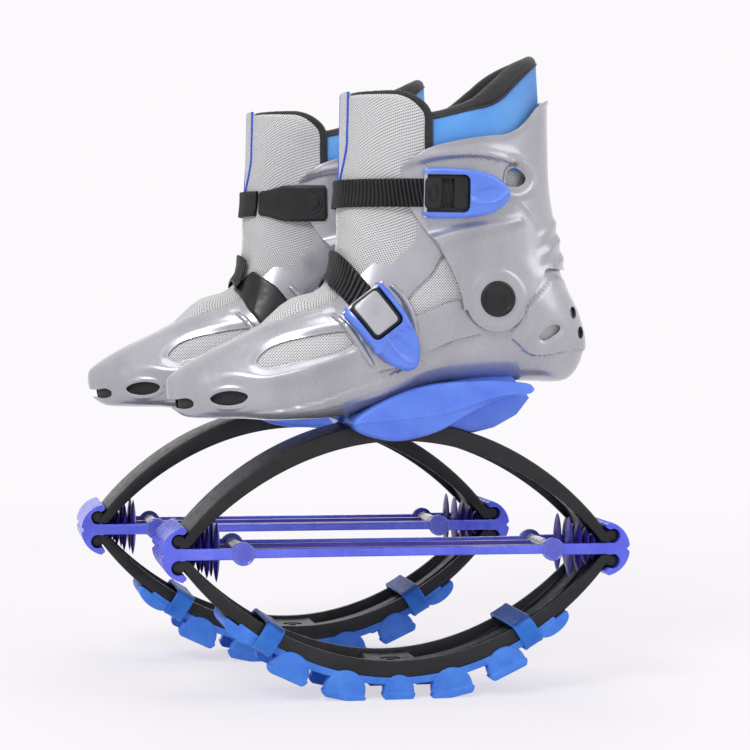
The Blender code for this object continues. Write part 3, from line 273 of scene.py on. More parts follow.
paints = {
    "pearl_plastic": pearlPlastic(),
    "blue_plastic": mouldedPlastic("Blue moulded plastic", srgb(78, 118, 232), srgb(98, 142, 246)),
    "violet_plastic": mouldedPlastic("Violet moulded plastic", srgb(84, 92, 228), srgb(106, 120, 248),
                                     0.22, 0.3),
    "indigo_rubber": mouldedPlastic("Indigo bump stops", srgb(46, 34, 140), srgb(66, 52, 176), 0.35, 0.2),
    "clip_plastic": clipPlastic(),
    "tread_rubber": treadRubber(),
    "black_nylon": blackNylon(),
    "black_trim": blackTrim(),
    "strap_nylon": blackTrim("Black strap nylon", 0.5),
    "pad_nylon": blackTrim("Black pad nylon", 0.36),
    "lever_plastic": mouldedPlastic("Blue lever plastic", srgb(84, 124, 236), srgb(104, 146, 248), 0.26),
    "silver_plate": mouldedPlastic("Silver cover plate", srgb(176, 176, 182), srgb(200, 200, 206), 0.3, 0.0),
    "steel": polishedSteel(),
    # each spacer mesh's last colour is painted shade inside its holes
    "grey_mesh": spacerMesh("Grey spacer mesh", srgb(238, 238, 238), srgb(220, 220, 221),
                            srgb(104, 104, 108)),
    "black_mesh": spacerMesh("Black spacer mesh", srgb(52, 52, 56), srgb(34, 34, 38), srgb(8, 8, 10)),
    "blue_fabric": linerFabric(),
    "grey_face": wovenTape("Smooth grey face cloth", srgb(196, 197, 198), srgb(212, 213, 213)),
    "black_tape": wovenTape("Black binding tape", srgb(18, 18, 20), srgb(38, 38, 42)),
    "blue_tape": wovenTape("Blue piping", srgb(36, 84, 200), srgb(52, 106, 222)),
    "pale_tape": wovenTape("Pale seam tape", srgb(206, 206, 204), srgb(228, 228, 226)),
}

slotOf = {row["node"]: row["material_slot"] for row in frame["record"]["subparts"]}
bodyOf = {n: body for body, group in frame["record"]["behaviour"]["bodies"].items() for n in group}
for name, node in nodes.items():
    node.data.materials.clear()
    node.data.materials.append(paints[slotOf[name]])
print("materials laid on the frame")


# Ways of shaping

def linked(name, mesh):
    made = bpy.data.objects.new(name, mesh)
    bpy.context.scene.collection.objects.link(made)
    return made


def meshFrom(name, points, faces):
    mesh = bpy.data.meshes.new(name)
    mesh.from_pydata(np.asarray(points).tolist(), [], faces)
    form = bmesh.new()
    form.from_mesh(mesh)
    bmesh.ops.remove_doubles(form, verts=form.verts, dist=1e-6)
    bmesh.ops.recalc_face_normals(form, faces=form.faces)
    form.to_mesh(mesh)
    form.free()
    return linked(name, mesh)


def gridFaces(rows, columns, first=0, round=True):
    i, j = np.meshgrid(np.arange(rows - 1), np.arange(columns if round else columns - 1), indexing="ij")
    k = (j + 1) % columns
    a, b = first + i * columns, first + (i + 1) * columns
    return np.stack([a + j, a + k, b + k, b + j], -1).reshape(-1, 4).tolist()


def skin(name, grid, caps=True, closed=False):
    # a tube through rings of points, with flat ends or joined into a loop
    grid = np.asarray(grid)
    if closed:
        grid = np.concatenate([grid, grid[:1]])
    rows, columns = grid.shape[:2]
    faces = gridFaces(rows, columns)
    if caps and not closed:
        last = (rows - 1) * columns
        faces += [tuple(range(columns)), tuple(range(last, last + columns))]
    return meshFrom(name, grid.reshape(-1, 3), faces)


def wall(name, outer, inner, closedFoot=False):
    # two skins a wall apart, joined at their open ends
    rows, columns = outer.shape[:2]
    faces = gridFaces(rows, columns) + gridFaces(len(inner), columns, rows * columns)
    away = rows * columns
    ends = [((rows - 1) * columns, away + (len(inner) - 1) * columns)]
    if closedFoot:
        faces += [tuple(range(columns)), tuple(range(away, away + columns))]
    else:
        ends.append((0, away))
    for a, b in ends:
        faces += [(a + j, a + (j + 1) % columns, b + (j + 1) % columns, b + j) for j in range(columns)]
    return meshFrom(name, np.concatenate([outer.reshape(-1, 3), inner.reshape(-1, 3)]), faces)


def flow(points, closed=False, steps=6):
    # a smooth line through points
    points = np.array(points, float)
    count = len(points)
    made = []
    for i in range(count if closed else count - 1):
        a, b, c, d = (points[(i + k) % count] if closed else points[min(max(i + k, 0), count - 1)]
                      for k in (-1, 0, 1, 2))
        for t in np.arange(steps) / steps:
            made.append(0.5 * (2 * b + (c - a) * t + (2 * a - 5 * b + 4 * c - d) * t**2
                               + (3 * b - a - 3 * c + d) * t**3))
    if not closed:
        made.append(points[-1])
    return np.array(made)


def mm(*points):
    return np.array(points, float) / 1000


def travelled(line):
    # how far along a line each of its points lies
    return np.concatenate([[0], np.cumsum(np.linalg.norm(np.diff(line, axis=0), axis=1))])


def squared(values, power):
    # sines or cosines raised to a power, with their signs kept
    return np.sign(values) * np.abs(values) ** power


def onceRound(count):
    # even angles once round
    return np.linspace(0, 2 * math.pi, count + 1)[:-1]


def arcPoints(x, z, radius, start, end, steps):
    angles = np.radians(np.linspace(start, end, steps))
    return np.stack([x + radius * np.cos(angles), z + radius * np.sin(angles)], -1)


def spread(outline, depth, plane="XZ"):
    # an outline's points in space, at a depth along the axis that it doesn't use
    flat = np.full(len(outline), depth)
    a, b = outline[:, 0], outline[:, 1]
    return np.stack((a, flat, b) if plane == "XZ" else (a, b, flat), -1)


throughCut = 0.1
wideSquare = np.array(((-1, -1), (1, -1), (1, 1), (-1, 1))) * 0.3


def slab(name, outline, low=-throughCut, high=throughCut, plane="XZ"):
    # an outline with a thickness, which by itself cuts right through a shoe
    outline = np.asarray(outline, float)
    return skin(name, [spread(outline, depth, plane) for depth in (low, high)])


def eased(outline, step=0.0005, passes=6):
    # a closed outline with even points and eased corners
    outline = np.asarray(outline, float)
    loop = np.vstack([outline, outline[:1]])
    gone = travelled(loop)
    at = np.linspace(0, gone[-1], max(int(gone[-1] / step), 12) + 1)[:-1]
    line = np.stack([np.interp(at, gone, loop[:, i]) for i in (0, 1)], -1)
    for turn in range(passes):
        line = (np.roll(line, 1, 0) + 2 * line + np.roll(line, -1, 0)) / 4
    return line


def inward(outline):
    # the way in at each point of a closed outline
    ahead = np.roll(outline, -1, 0) - np.roll(outline, 1, 0)
    ahead /= np.maximum(np.linalg.norm(ahead, axis=1), 1e-9)[:, None]
    x, y = outline.T
    turn = 1 if np.sum(x * np.roll(y, -1) - np.roll(x, -1) * y) > 0 else -1
    return turn * np.stack([-ahead[:, 1], ahead[:, 0]], -1)


def uncrossed(line):
    # pulls small loops shut where a closed line crosses itself
    def turn(p, q, r):
        return (q[:, 0] - p[:, 0]) * (r[:, 1] - p[:, 1]) - (q[:, 1] - p[:, 1]) * (r[:, 0] - p[:, 0])
    line = line.copy()
    for k in range(2, 16):
        a, b, c, d = (np.roll(line, -shift, 0) for shift in (0, 1, k, k + 1))
        first, last = turn(c, d, a), turn(c, d, b)
        for i in np.flatnonzero((turn(a, b, c) * turn(a, b, d) < 0) & (first * last < 0)):
            line[(i + 1 + np.arange(k)) % len(line)] = a[i] + (b[i] - a[i]) * first[i] / (first[i] - last[i])
    return line


def shrunk(outline, inset):
    # an outline drawn in by a small distance, in steps that keep it from crossing itself
    outline = np.asarray(outline, float)
    steps = max(int(math.ceil(inset / 0.00012)), 1)
    for turn in range(steps):
        outline = outline + inset / steps * inward(outline)
        outline = (np.roll(outline, 1, 0) + 6 * outline + np.roll(outline, -1, 0)) / 8
    return uncrossed(outline)


def plate(name, outline, low, high, edge, plane="XZ", steps=3):
    # an outline with a thickness whose rims are rounded over
    turns = np.linspace(0, math.pi / 2, steps + 1)
    lines = [shrunk(outline, edge * (1 - math.sin(a))) for a in turns]
    depths = [edge * (1 - math.cos(a)) for a in turns]
    rings = [spread(line, low + depth, plane) for line, depth in zip(lines, depths)]
    rings += [spread(line, high - depth, plane) for line, depth in zip(lines[::-1], depths[::-1])]
    return skin(name, rings)


def rod(name, points, radius, sides=16, flat=1.0, up=(0, 0, 1), closed=False):
    # a round or flattened bar along a line; radius may change along it
    points = np.array(points, float)
    if closed:
        ahead = np.roll(points, -1, 0) - np.roll(points, 1, 0)
    else:
        ahead = np.gradient(points, axis=0)
    ahead /= np.linalg.norm(ahead, axis=1)[:, None]
    across = np.cross(ahead, np.broadcast_to(np.array(up, float), points.shape))
    across /= np.linalg.norm(across, axis=1)[:, None]
    above = np.cross(across, ahead)
    angles = np.arange(sides) * 2 * math.pi / sides
    radius = np.broadcast_to(np.asarray(radius, float), (len(points),))
    rings = (points[:, None] + radius[:, None, None] * (across[:, None] * np.cos(angles)[None, :, None]
             + flat * above[:, None] * np.sin(angles)[None, :, None]))
    return skin(name, rings, closed=closed)


def turned(name, profile, centre, axis=(0, 1, 0), sides=40):
    # a profile of (radius, height) spun round an axis through a centre
    axis = np.array(axis, float)
    side = np.cross(axis, (0.3, 0.2, 0.9))
    side /= np.linalg.norm(side)
    other = np.cross(axis, side)
    angles = np.arange(sides) * 2 * math.pi / sides
    spoke = side * np.cos(angles)[:, None] + other * np.sin(angles)[:, None]
    return skin(name, [np.array(centre) + axis * h + r * spoke for r, h in profile])


def settle(obj):
    graph = bpy.context.evaluated_depsgraph_get()
    mesh = bpy.data.meshes.new_from_object(obj.evaluated_get(graph))
    mesh.transform(obj.matrix_world)
    obj.modifiers.clear()
    obj.matrix_world = Matrix.Identity(4)
    obj.data = mesh
    return obj


def carve(obj, *tools, how="DIFFERENCE", solver="MANIFOLD"):
    for tool in tools:
        modifier = obj.modifiers.new(how, "BOOLEAN")
        modifier.operation, modifier.solver, modifier.object = how, solver, tool
        bpy.context.view_layer.update()
        settle(obj)
        bpy.data.objects.remove(tool, do_unlink=True)
    return obj


def merged(first, *others):
    # loose bodies that make one piece
    form = bmesh.new()
    for obj in (first, *others):
        form.from_mesh(obj.data)
    form.to_mesh(first.data)
    form.free()
    for obj in others:
        bpy.data.objects.remove(obj, do_unlink=True)
    return first


def places(obj):
    flat = np.empty(len(obj.data.vertices) * 3, np.float32)
    obj.data.vertices.foreach_get("co", flat)
    return flat.reshape(-1, 3).astype(float)


def moved(obj, points):
    obj.data.vertices.foreach_set("co", np.asarray(points, np.float32).ravel())
    obj.data.update()
    return obj


def weave(obj, where):
    # lays a fabric's own directions on a piece, in metres
    layer = obj.data.uv_layers.new(name="Weave")
    u, v = where(places(obj))
    index = np.empty(len(obj.data.loops), np.int32)
    obj.data.loops.foreach_get("vertex_index", index)
    layer.data.foreach_set("uv", np.stack([u[index], v[index]], -1).astype(np.float32).ravel())
    return obj


def wear(piece, name, paint, node, sharp=35, join=None, flat=False, whole=True):
    # the piece on both shoes: it rides with its node's body or joins as told, and a whole one stands for it
    for side, turn in sides:
        home = side + "_" + node
        mesh = piece.data.copy()
        mesh.transform(Matrix.Translation(homes[side]) @ Matrix.Diagonal((1, turn, 1, 1)))
        if turn < 0:
            mesh.flip_normals()
        mesh.shade_smooth()
        if sharp:
            mesh.set_sharp_from_angle(angle=math.radians(sharp))
        obj = linked(side + "_" + name, mesh)
        if flat:
            obj.modifiers.new("Flat faces stay flat", "WEIGHTED_NORMAL").keep_sharp = True
            settle(obj)
        obj.data.materials.clear()
        obj.data.materials.append(paints[paint])
        if join:
            join(obj, side)
        else:
            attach(obj, bodyOf[home])
        if whole:
            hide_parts(home)
    bpy.data.objects.remove(piece, do_unlink=True)


# The form of the boot, which its layers share

boot = {
    "length": 0.319,
    "height": 0.245,
    "width": 0.100,
    "toeReach": 0.171,
    "soleHeight": 0.207,
    "around": 168,
    "step": 0.1,
    # toe to leg: x and height of the front or top point, x and height of the back or sole point,
    # half width, widest place, squareness of front and back, all as shares
    "rows": (
        (0.006, 0.122, 0.019, 0.024, 0.18, 0.50, 2.2, 2.4),
        (0.034, 0.151, 0.047, 0.004, 0.40, 0.42, 2.1, 3.0),
        (0.091, 0.196, 0.097, 0.000, 0.64, 0.38, 2.0, 3.4),
        (0.185, 0.257, 0.185, 0.000, 0.86, 0.36, 1.9, 3.6),
        (0.292, 0.338, 0.285, 0.000, 0.98, 0.36, 1.8, 3.6),
        (0.368, 0.400, 0.376, 0.003, 1.00, 0.38, 1.8, 3.4),
        (0.390, 0.453, 0.480, 0.029, 0.98, 0.42, 1.9, 3.2),
        (0.395, 0.510, 0.599, 0.088, 0.94, 0.44, 2.0, 3.0),
        (0.401, 0.567, 0.724, 0.112, 0.90, 0.46, 2.1, 3.0),
        (0.404, 0.620, 0.850, 0.114, 0.88, 0.48, 2.2, 2.8),
        (0.408, 0.665, 0.956, 0.120, 0.87, 0.48, 2.2, 2.4),
        (0.409, 0.710, 0.998, 0.212, 0.87, 0.48, 2.2, 2.2),
        (0.411, 0.755, 0.984, 0.314, 0.88, 0.50, 2.2, 2.1),
        (0.411, 0.804, 0.946, 0.416, 0.90, 0.50, 2.2, 2.1),
        (0.412, 0.857, 0.919, 0.547, 0.92, 0.50, 2.2, 2.1),
        (0.414, 0.914, 0.894, 0.702, 0.94, 0.50, 2.2, 2.1),
        (0.415, 0.967, 0.887, 0.853, 0.96, 0.50, 2.2, 2.1),
        (0.417, 1.016, 0.884, 0.996, 0.97, 0.50, 2.2, 2.1),
        (0.420, 1.078, 0.880, 1.159, 0.96, 0.50, 2.2, 2.1),
    ),
}


def bootX(share):
    return share * boot["length"] - boot["toeReach"]


def bootZ(share):
    return boot["soleHeight"] + share * boot["height"]


def formAt(rings, angles, grow=0.0):
    # points of the boot's form; angle 0 is the front, positive is medial
    rows = np.array(boot["rows"])
    rings, angles, grow = np.broadcast_arrays(np.asarray(rings, float), angles, grow)
    i = np.clip(np.floor(rings).astype(int), 0, len(rows) - 2)
    t = (rings - i)[..., None]
    before, a, b, after = (rows[np.clip(i + k, 0, len(rows) - 1)] for k in (-1, 0, 1, 2))
    row = ((2 * t**3 - 3 * t**2 + 1) * a + (t**3 - 2 * t**2 + t) * (b - before) / 2
           + (3 * t**2 - 2 * t**3) * b + (t**3 - t**2) * (after - a) / 2)
    tx, tz, bx, bz, width, widest, frontSquare, backSquare = np.moveaxis(row, -1, 0)
    flat = np.zeros_like(tx)
    top = np.stack([bootX(tx), flat, bootZ(tz)], -1)
    bottom = np.stack([bootX(bx), flat, bootZ(bz)], -1)
    tall = np.linalg.norm(top - bottom, axis=-1)
    up = (top - bottom) / tall[..., None]
    c, s = np.cos(angles), np.sin(angles)
    square = np.where(c > 0, frontSquare, backSquare)
    reach = np.where(c > 0, tall * (1 - widest), tall * widest) + grow
    along = squared(c, 2 / square) * reach
    made = bottom + up * (tall * widest + along)[..., None]
    made[..., 1] = (width * boot["width"] / 2 + grow) * squared(s, 2 / square)
    return made


def formPoints(ring, angles, grow=0.0):
    return formAt(ring, np.asarray(angles, float), grow)


def ringWhere(measure, goal, angles, grow=0.0, low=5.0, high=18.0):
    # the ring at which a measure of the form's point reaches a goal, by halving
    shape = np.broadcast_shapes(np.shape(angles), np.shape(goal))
    low, high = np.full(shape, low), np.full(shape, high)
    for turn in range(24):
        half = (low + high) / 2
        under = measure(formAt(half, angles, grow)) < goal
        low, high = np.where(under, half, low), np.where(under, high, half)
    return low


def evenAngles(ring, count):
    # angles that put points evenly round a ring, front and back on the middle line
    fine = np.linspace(0, math.pi, 600)
    line = formPoints(ring, fine)
    gone = travelled(line)
    half = np.interp(np.linspace(0, gone[-1], count // 2 + 1), gone, fine)
    return np.concatenate([half, -half[-2:0:-1]])


def formGrid(first, last, grow=0.0, relief=None, step=None, around=None):
    step, around = step or boot["step"], around or boot["around"]
    grid = []
    for ring in np.linspace(first, last, max(int(round((last - first) / step)), 2) + 1):
        angles = evenAngles(ring, around)
        line = formPoints(ring, angles, grow)
        if relief:
            line = formPoints(ring, angles, grow + relief(line))
        grid.append(line)
    return np.array(grid)


def away(points, line, closed=False):
    # distance from each point, seen from the side, to a line, and how far along the line it is
    flat = points[:, [0, 2]]
    line = np.asarray(line)
    if closed:
        line = np.vstack([line, line[:1]])
    best, place = np.full(len(flat), 1e9), np.zeros(len(flat))
    for i, (a, b) in enumerate(zip(line[:-1], line[1:])):
        span = b - a
        t = np.clip(((flat - a) @ span) / (span @ span), 0, 1)
        gap = np.linalg.norm(flat - a - t[:, None] * span, axis=1)
        nearer = gap < best
        best[nearer], place[nearer] = gap[nearer], (i + t[nearer]) / (len(line) - 1)
    return best, place


def ridge(points, line, high, wide, fadeStart=0.0, fadeEnd=0.0):
    gap, place = away(points, line)
    shape = high * np.exp(-((gap / wide) ** 2))
    if fadeStart:
        shape *= np.clip(place / fadeStart, 0, 1)
    if fadeEnd:
        shape *= np.clip((1 - place) / fadeEnd, 0, 1)
    return shape


def inside(points, outline):
    flat, outline = points[:, [0, 2]], np.asarray(outline)
    hit = np.zeros(len(flat), bool)
    for a, b in zip(outline, np.roll(outline, -1, axis=0)):
        crosses = (a[1] > flat[:, 1]) != (b[1] > flat[:, 1])
        rise = b[1] - a[1] if abs(b[1] - a[1]) > 1e-12 else 1e-12
        hit ^= crosses & (flat[:, 0] < (b[0] - a[0]) * (flat[:, 1] - a[1]) / rise + a[0])
    return hit


def signedGap(points, outline):
    # distance to an outline, below zero inside it
    gap, place = away(points, outline, True)
    return np.where(inside(points, outline), -gap, gap)


def smooth(value, low, high):
    t = np.clip((value - low) / (high - low), 0, 1)
    return t * t * (3 - 2 * t)


# Moulded shell

shellLook = {
    "wall": 0.003,
    "topRing": 15,
    "topLine": mm((-49.2, 302), (-26, 319.7), (-11.5, 344), (1, 366), (18.8, 363.8), (46, 346.7),
                  (68, 331.5), (90.6, 323.4), (116, 321), (180, 320)),
    "teardrop": mm((-109, 248.5), (-106, 254), (-99, 259.5), (-88, 264), (-73, 267.5), (-57, 270.5),
                   (-45, 271.5), (-40.5, 268), (-40, 263), (-47, 258.5), (-60, 254.5), (-76, 251),
                   (-92, 247), (-103, 245)),
    "ankleWindow": mm((-1, 292), (3, 283), (12, 285.5), (30, 293), (47, 298), (49, 311), (40, 324),
                      (28, 328.5), (18, 314), (5, 302)),
    "toeVent": mm((-142, 222.5), (-137, 226.5), (-128, 228.3), (-119, 227), (-116, 224),
                  (-120, 219.8), (-129, 217.6), (-138, 218.8)),
    "heelVent": mm((102, 268), (105.5, 273.5), (112, 277.5), (118.5, 277.5), (119.5, 274),
                   (114, 269.5), (107, 266.2)),
    "heelPanel": mm((80, 273), (85, 264), (92, 257.5), (104, 255), (134, 259.5), (165, 262), (165, 300),
                    (128, 312), (110, 310)),
    "brow": mm((-136, 250), (-122, 261), (-107, 269), (-89, 276), (-71, 281), (-50, 286)),
    "swoosh": mm((-142, 239), (-126, 240), (-107, 237), (-87, 240), (-65, 247.5), (-46, 255), (-32, 262)),
    "lowCrease": mm((-112, 212), (-86, 216), (-65, 221), (-43, 229), (-16, 238), (10, 249)),
    "rearCrease": mm((-34, 240), (-6, 245), (16, 257), (39, 266), (62, 271)),
    "frontRib": mm((-54, 284), (-47, 278), (-40, 268), (-32, 256), (-26, 247)),
    "rearRib": mm((-12, 306), (-4, 298), (2, 288), (5.5, 277), (6.5, 268)),
    "shortCrease": mm((-43, 219), (-20, 226), (0, 233), (9, 238)),
    "hollow": mm((-104, 226), (-80, 229), (-58, 238), (-36, 249)),
    "throat": mm((-98, -0.6), (-90, -10), (-76, -20), (-61, -26), (-45, -29)),
    "toeSlot": mm((-180, 221.5), (-166, 220.8), (-158, 222.2), (-153.4, 220), (-153.6, 216), (-159, 214.2),
                  (-166, 214.8), (-180, 213.8)),
    "holes": mm((132.5, 287), (139.5, 272)),
    "holeRadius": 0.0042,
    "grid": (0.06, 280),
    "ribHigh": 0.0050,
    "ribWide": 0.0028,
}


def shellRelief(points):
    s = shellLook
    side = smooth(np.abs(points[:, 1]), 0.004, 0.014)
    out = ridge(points, flow(s["brow"]), 0.0016, 0.0046, 0.2, 0.1)
    out += ridge(points, flow(s["swoosh"]), 0.0022, 0.0052, 0.25, 0.1)
    out -= ridge(points, flow(s["hollow"]), 0.0014, 0.0075, 0.2, 0.1)
    socket = signedGap(points, flow(s["teardrop"], True, 3))
    out -= 0.0022 * (1 - smooth(socket, 0.0, 0.0065))
    socket = signedGap(points, flow(s["ankleWindow"], True, 3))
    out -= 0.0010 * (1 - smooth(socket, 0.0, 0.004))
    rim = np.abs(signedGap(points, flow(s["toeVent"], True, 3)) - 0.002)
    out += 0.0008 * np.exp(-((rim / 0.0014) ** 2))
    lineZ = np.interp(points[:, 0], s["lowCrease"][:, 0], s["lowCrease"][:, 1])
    below = lineZ - points[:, 2]
    out += (0.0018 * smooth(below, -0.0006, 0.0006) * (1 - smooth(below, 0.003, 0.016))
            * smooth(points[:, 0], -0.118, -0.09) * (1 - smooth(points[:, 0], -0.008, 0.012)))
    lineZ = np.interp(points[:, 0], s["rearCrease"][:, 0], s["rearCrease"][:, 1])
    below = lineZ - points[:, 2]
    out -= (0.0021 * smooth(below, -0.0006, 0.0008) * (1 - smooth(below, 0.004, 0.014))
            * smooth(points[:, 0], -0.034, -0.012) * (1 - smooth(points[:, 0], 0.05, 0.068)))
    out += ridge(points, flow(s["shortCrease"]), 0.0008, 0.0014, 0.3, 0.3)
    panel = signedGap(points, flow(s["heelPanel"], True, 3))
    out += 0.0019 * (1 - smooth(panel, -0.0004, 0.0006))
    vent = signedGap(points, flow(s["heelVent"], True, 3))
    out -= 0.0010 * (1 - smooth(vent, 0.0004, 0.0026))
    return out * side


def toeNose(grid):
    # rounds the blunt first ring of the form into a nose
    first = grid[0]
    middle = first.mean(0)
    rings = []
    for turn in (90, 72, 54, 36, 20, 8):
        share = math.cos(math.radians(turn)) ** 0.8
        reach = Vector((-1, 0, -0.12)) * 0.0042 * math.sin(math.radians(turn))
        round = middle + (first - middle) * max(share, 0.02)
        rings.append(round + np.array(reach) + np.array((0.0012, 0, 0)))
    return np.concatenate([np.array(rings), grid[1:]])


def guardRib(line, side):
    # a raised bead standing on the shell, from the outline of its middle seen from the side
    high, wide = shellLook["ribHigh"], shellLook["ribWide"]
    points = [onForm(x, z, side) for x, z in flow(line, False, 8)]
    size = wide * np.sin(np.linspace(0.35, math.pi - 0.35, len(points))) ** 0.4
    return rod("Guard rib", np.array(points), size, 14, high / wide / 1.5, (0, side, 0))


def onForm(x, z, side):
    # the point of the form's side that lies at a place seen from the side
    best = None
    for ring in np.arange(0.5, 18, 0.25):
        line = formPoints(ring, np.linspace(0.02, math.pi - 0.02, 120) * side)
        gap = np.hypot(line[:, 0] - x, line[:, 2] - z)
        k = int(gap.argmin())
        if best is None or gap[k] < best[0]:
            best = (gap[k], line[k])
    return np.array([x, best[1][1], z])


def makeShell():
    s = shellLook
    step, around = s["grid"]
    outer = toeNose(formGrid(0, s["topRing"], 0.0, shellRelief, step, around))
    inner = formGrid(0.6, s["topRing"], -s["wall"], None, 0.2, around)
    shell = wall("Shell", outer, inner, True)
    above = np.vstack([flow(s["topLine"]), mm((180, 600), (-49.2, 600))])
    shell = carve(shell, slab("Above", above))
    throat = np.vstack([flow(s["throat"]), flow(s["throat"])[::-1] * (1, -1)])
    shell = carve(shell, slab("Throat", throat, 0.25, 0.5, "XY"))
    for key in ("teardrop", "ankleWindow", "toeVent", "heelVent"):
        shell = carve(shell, slab(key, flow(s[key], True)))
    shell = carve(shell, slab("Toe slot", flow(s["toeSlot"], True, 4)))
    for place in s["holes"]:
        hole = np.array([(math.cos(a), math.sin(a)) for a in onceRound(24)]) * s["holeRadius"]
        shell = carve(shell, slab("Heel hole", hole * (0.8, 1.1) + place))
    for key in ("frontRib", "rearRib"):
        for side in (-1, 1):
            shell = carve(shell, guardRib(s[key], side), how="UNION")
    return shell


wear(makeShell(), "shell", "pearl_plastic", "boot_shell", 28)
print("shells made")


# Cuff

cuffLook = {
    "inner": 0.0014,
    "wall": 0.003,
    "outline": mm((-5, 392), (7.6, 402), (18, 407), (38, 412), (60, 415.7), (71, 417), (82.3, 422),
                  (91.5, 430), (101, 440), (116, 447), (135, 448), (140, 400), (140, 340), (137, 322),
                  (124, 319), (108, 319.2), (102.7, 311), (89, 291.5)),
    "front": mm((42.4, 288), (39.5, 301), (33, 317), (23, 334.4), (11, 349), (0, 366), (-5, 378.5)),
    "pivot": (0.0675, 0.2965),
    "boss": 0.024,
    "rib": mm((13, 333), (21, 337), (37, 343), (52, 347), (67, 350.5), (84, 354.5)),
    "eye": mm((74, 380), (73.5, 386), (75.5, 391), (80, 393), (86, 391), (90, 386.5), (88.5, 382), (82, 379)),
    "overBuckle": mm((-6, 391), (14, 399), (44, 402.5), (67, 400.5), (84, 396)),
    "crease": mm((79, 372), (88, 366), (97, 357), (101, 349)),
    "folds": ((0.356, 0.0016), (0.342, 0.0022), (0.3265, 0.0020)),
    "rings": (7.6, 17.5),
    "grid": (0.05, 300),
}


def cuffRelief(points):
    c = cuffLook
    gap, place = away(points, flow(c["rib"]))
    tall = 0.0066 * (1 - 0.72 * place)
    out = tall * np.exp(-((gap / (0.0070 - 0.0044 * place)) ** 2)) * np.clip(place / 0.06, 0, 1)
    line = flow(c["overBuckle"])
    gap, place = away(points, line)
    under = smooth(np.interp(points[:, 0], line[:, 0], line[:, 1]) - points[:, 2], 0.0, 0.0035)
    ends = np.clip(place / 0.1, 0, 1), np.clip((1 - place) / 0.15, 0, 1)
    out += 0.0035 * np.exp(-((gap / (0.0052 - 0.0030 * under)) ** 2)) * ends[0] * ends[1]
    eye = signedGap(points, flow(c["eye"], True, 3))
    out -= 0.0022 * (1 - smooth(eye, 0.0, 0.004))
    out += 0.0018 * np.exp(-(((eye - 0.006) / 0.0026) ** 2))
    hub = np.hypot(points[:, 0] - c["pivot"][0], points[:, 2] - c["pivot"][1])
    out += 0.0010 * (1 - smooth(hub, 0.0205, 0.0225))
    top = c["outline"][:10]
    rim, place = away(points, flow(top))
    out += 0.0009 * (1 - smooth(rim, 0.0016, 0.0034))
    # notched folds at the back of the ankle
    back = smooth(points[:, 0], 0.098, 0.112)
    height = points[:, 2] - (points[:, 0] - 0.118) * 0.62
    for level, deep in c["folds"]:
        rise = height - level
        out += deep * back * smooth(-rise, -0.0012, 0.0016) * (1 - smooth(-rise, 0.002, 0.012))
    out += ridge(points, flow(c["crease"]), 0.0008, 0.0022, 0.2, 0.2)
    return out


def makeCuff():
    c = cuffLook
    (first, last), (step, around) = c["rings"], c["grid"]
    outer = formGrid(first, last, c["inner"] + c["wall"], cuffRelief, step, around)
    inner = formGrid(first, last, c["inner"], None, 0.2, around)
    cuff = wall("Cuff", outer, inner)
    x, z = c["pivot"]
    foot = arcPoints(x, z, c["boss"], -25, -160, 16)
    outline = np.vstack([flow(c["outline"]), foot, flow(c["front"])])
    cuff = carve(cuff, slab("Cuff side", outline), how="INTERSECT")
    return carve(cuff, slab("Eye", flow(c["eye"], True)))


wear(makeCuff(), "ankle_cuff", "pearl_plastic", "cuff", 28)
print("cuffs made")


# Padding: liner, collar and tongue, swelled by a short cloth simulation

softLook = {
    "out": -0.0036,
    "linerWall": 0.0052,
    "collarIn": -0.0138,
    "collarFoot": 0.3885,
    "linerTop": 0.3925,
    "collarTop": mm((-60, 431), (7.6, 433.6), (20.4, 434.9), (33.2, 438.5), (49.1, 445.1), (65.1, 456.9),
                    (81, 468.7), (97, 476.5), (116.1, 482.6), (150, 484)),
    "seam": mm((-60, 424), (8, 427.5), (20, 428.8), (31, 431.5), (44.6, 435), (59.6, 438.5), (70.8, 444.5),
               (82, 454.8), (93, 464.5), (101.5, 471), (112, 475.5), (150, 477)),
    "tongueFirst": 2.9,
    "tongueTop": 0.4460,
    "tongueReach": (34, 75),
    "tongueProud": 0.0036,
    "instepSwell": 0.0065,
    "tongueEdge": (0.0008, -0.0035),
    "tongueIn": -0.0112,
    "corner": 0.018,
    "binding": 0.0032,
    "bend": (0.285, 0.36),
    "pressure": 4.0,
    "frames": 20,
    "voxel": 0.005,
    "collarCap": 0.0018,
    "tongueCap": 0.0012,
    "around": 150,
}


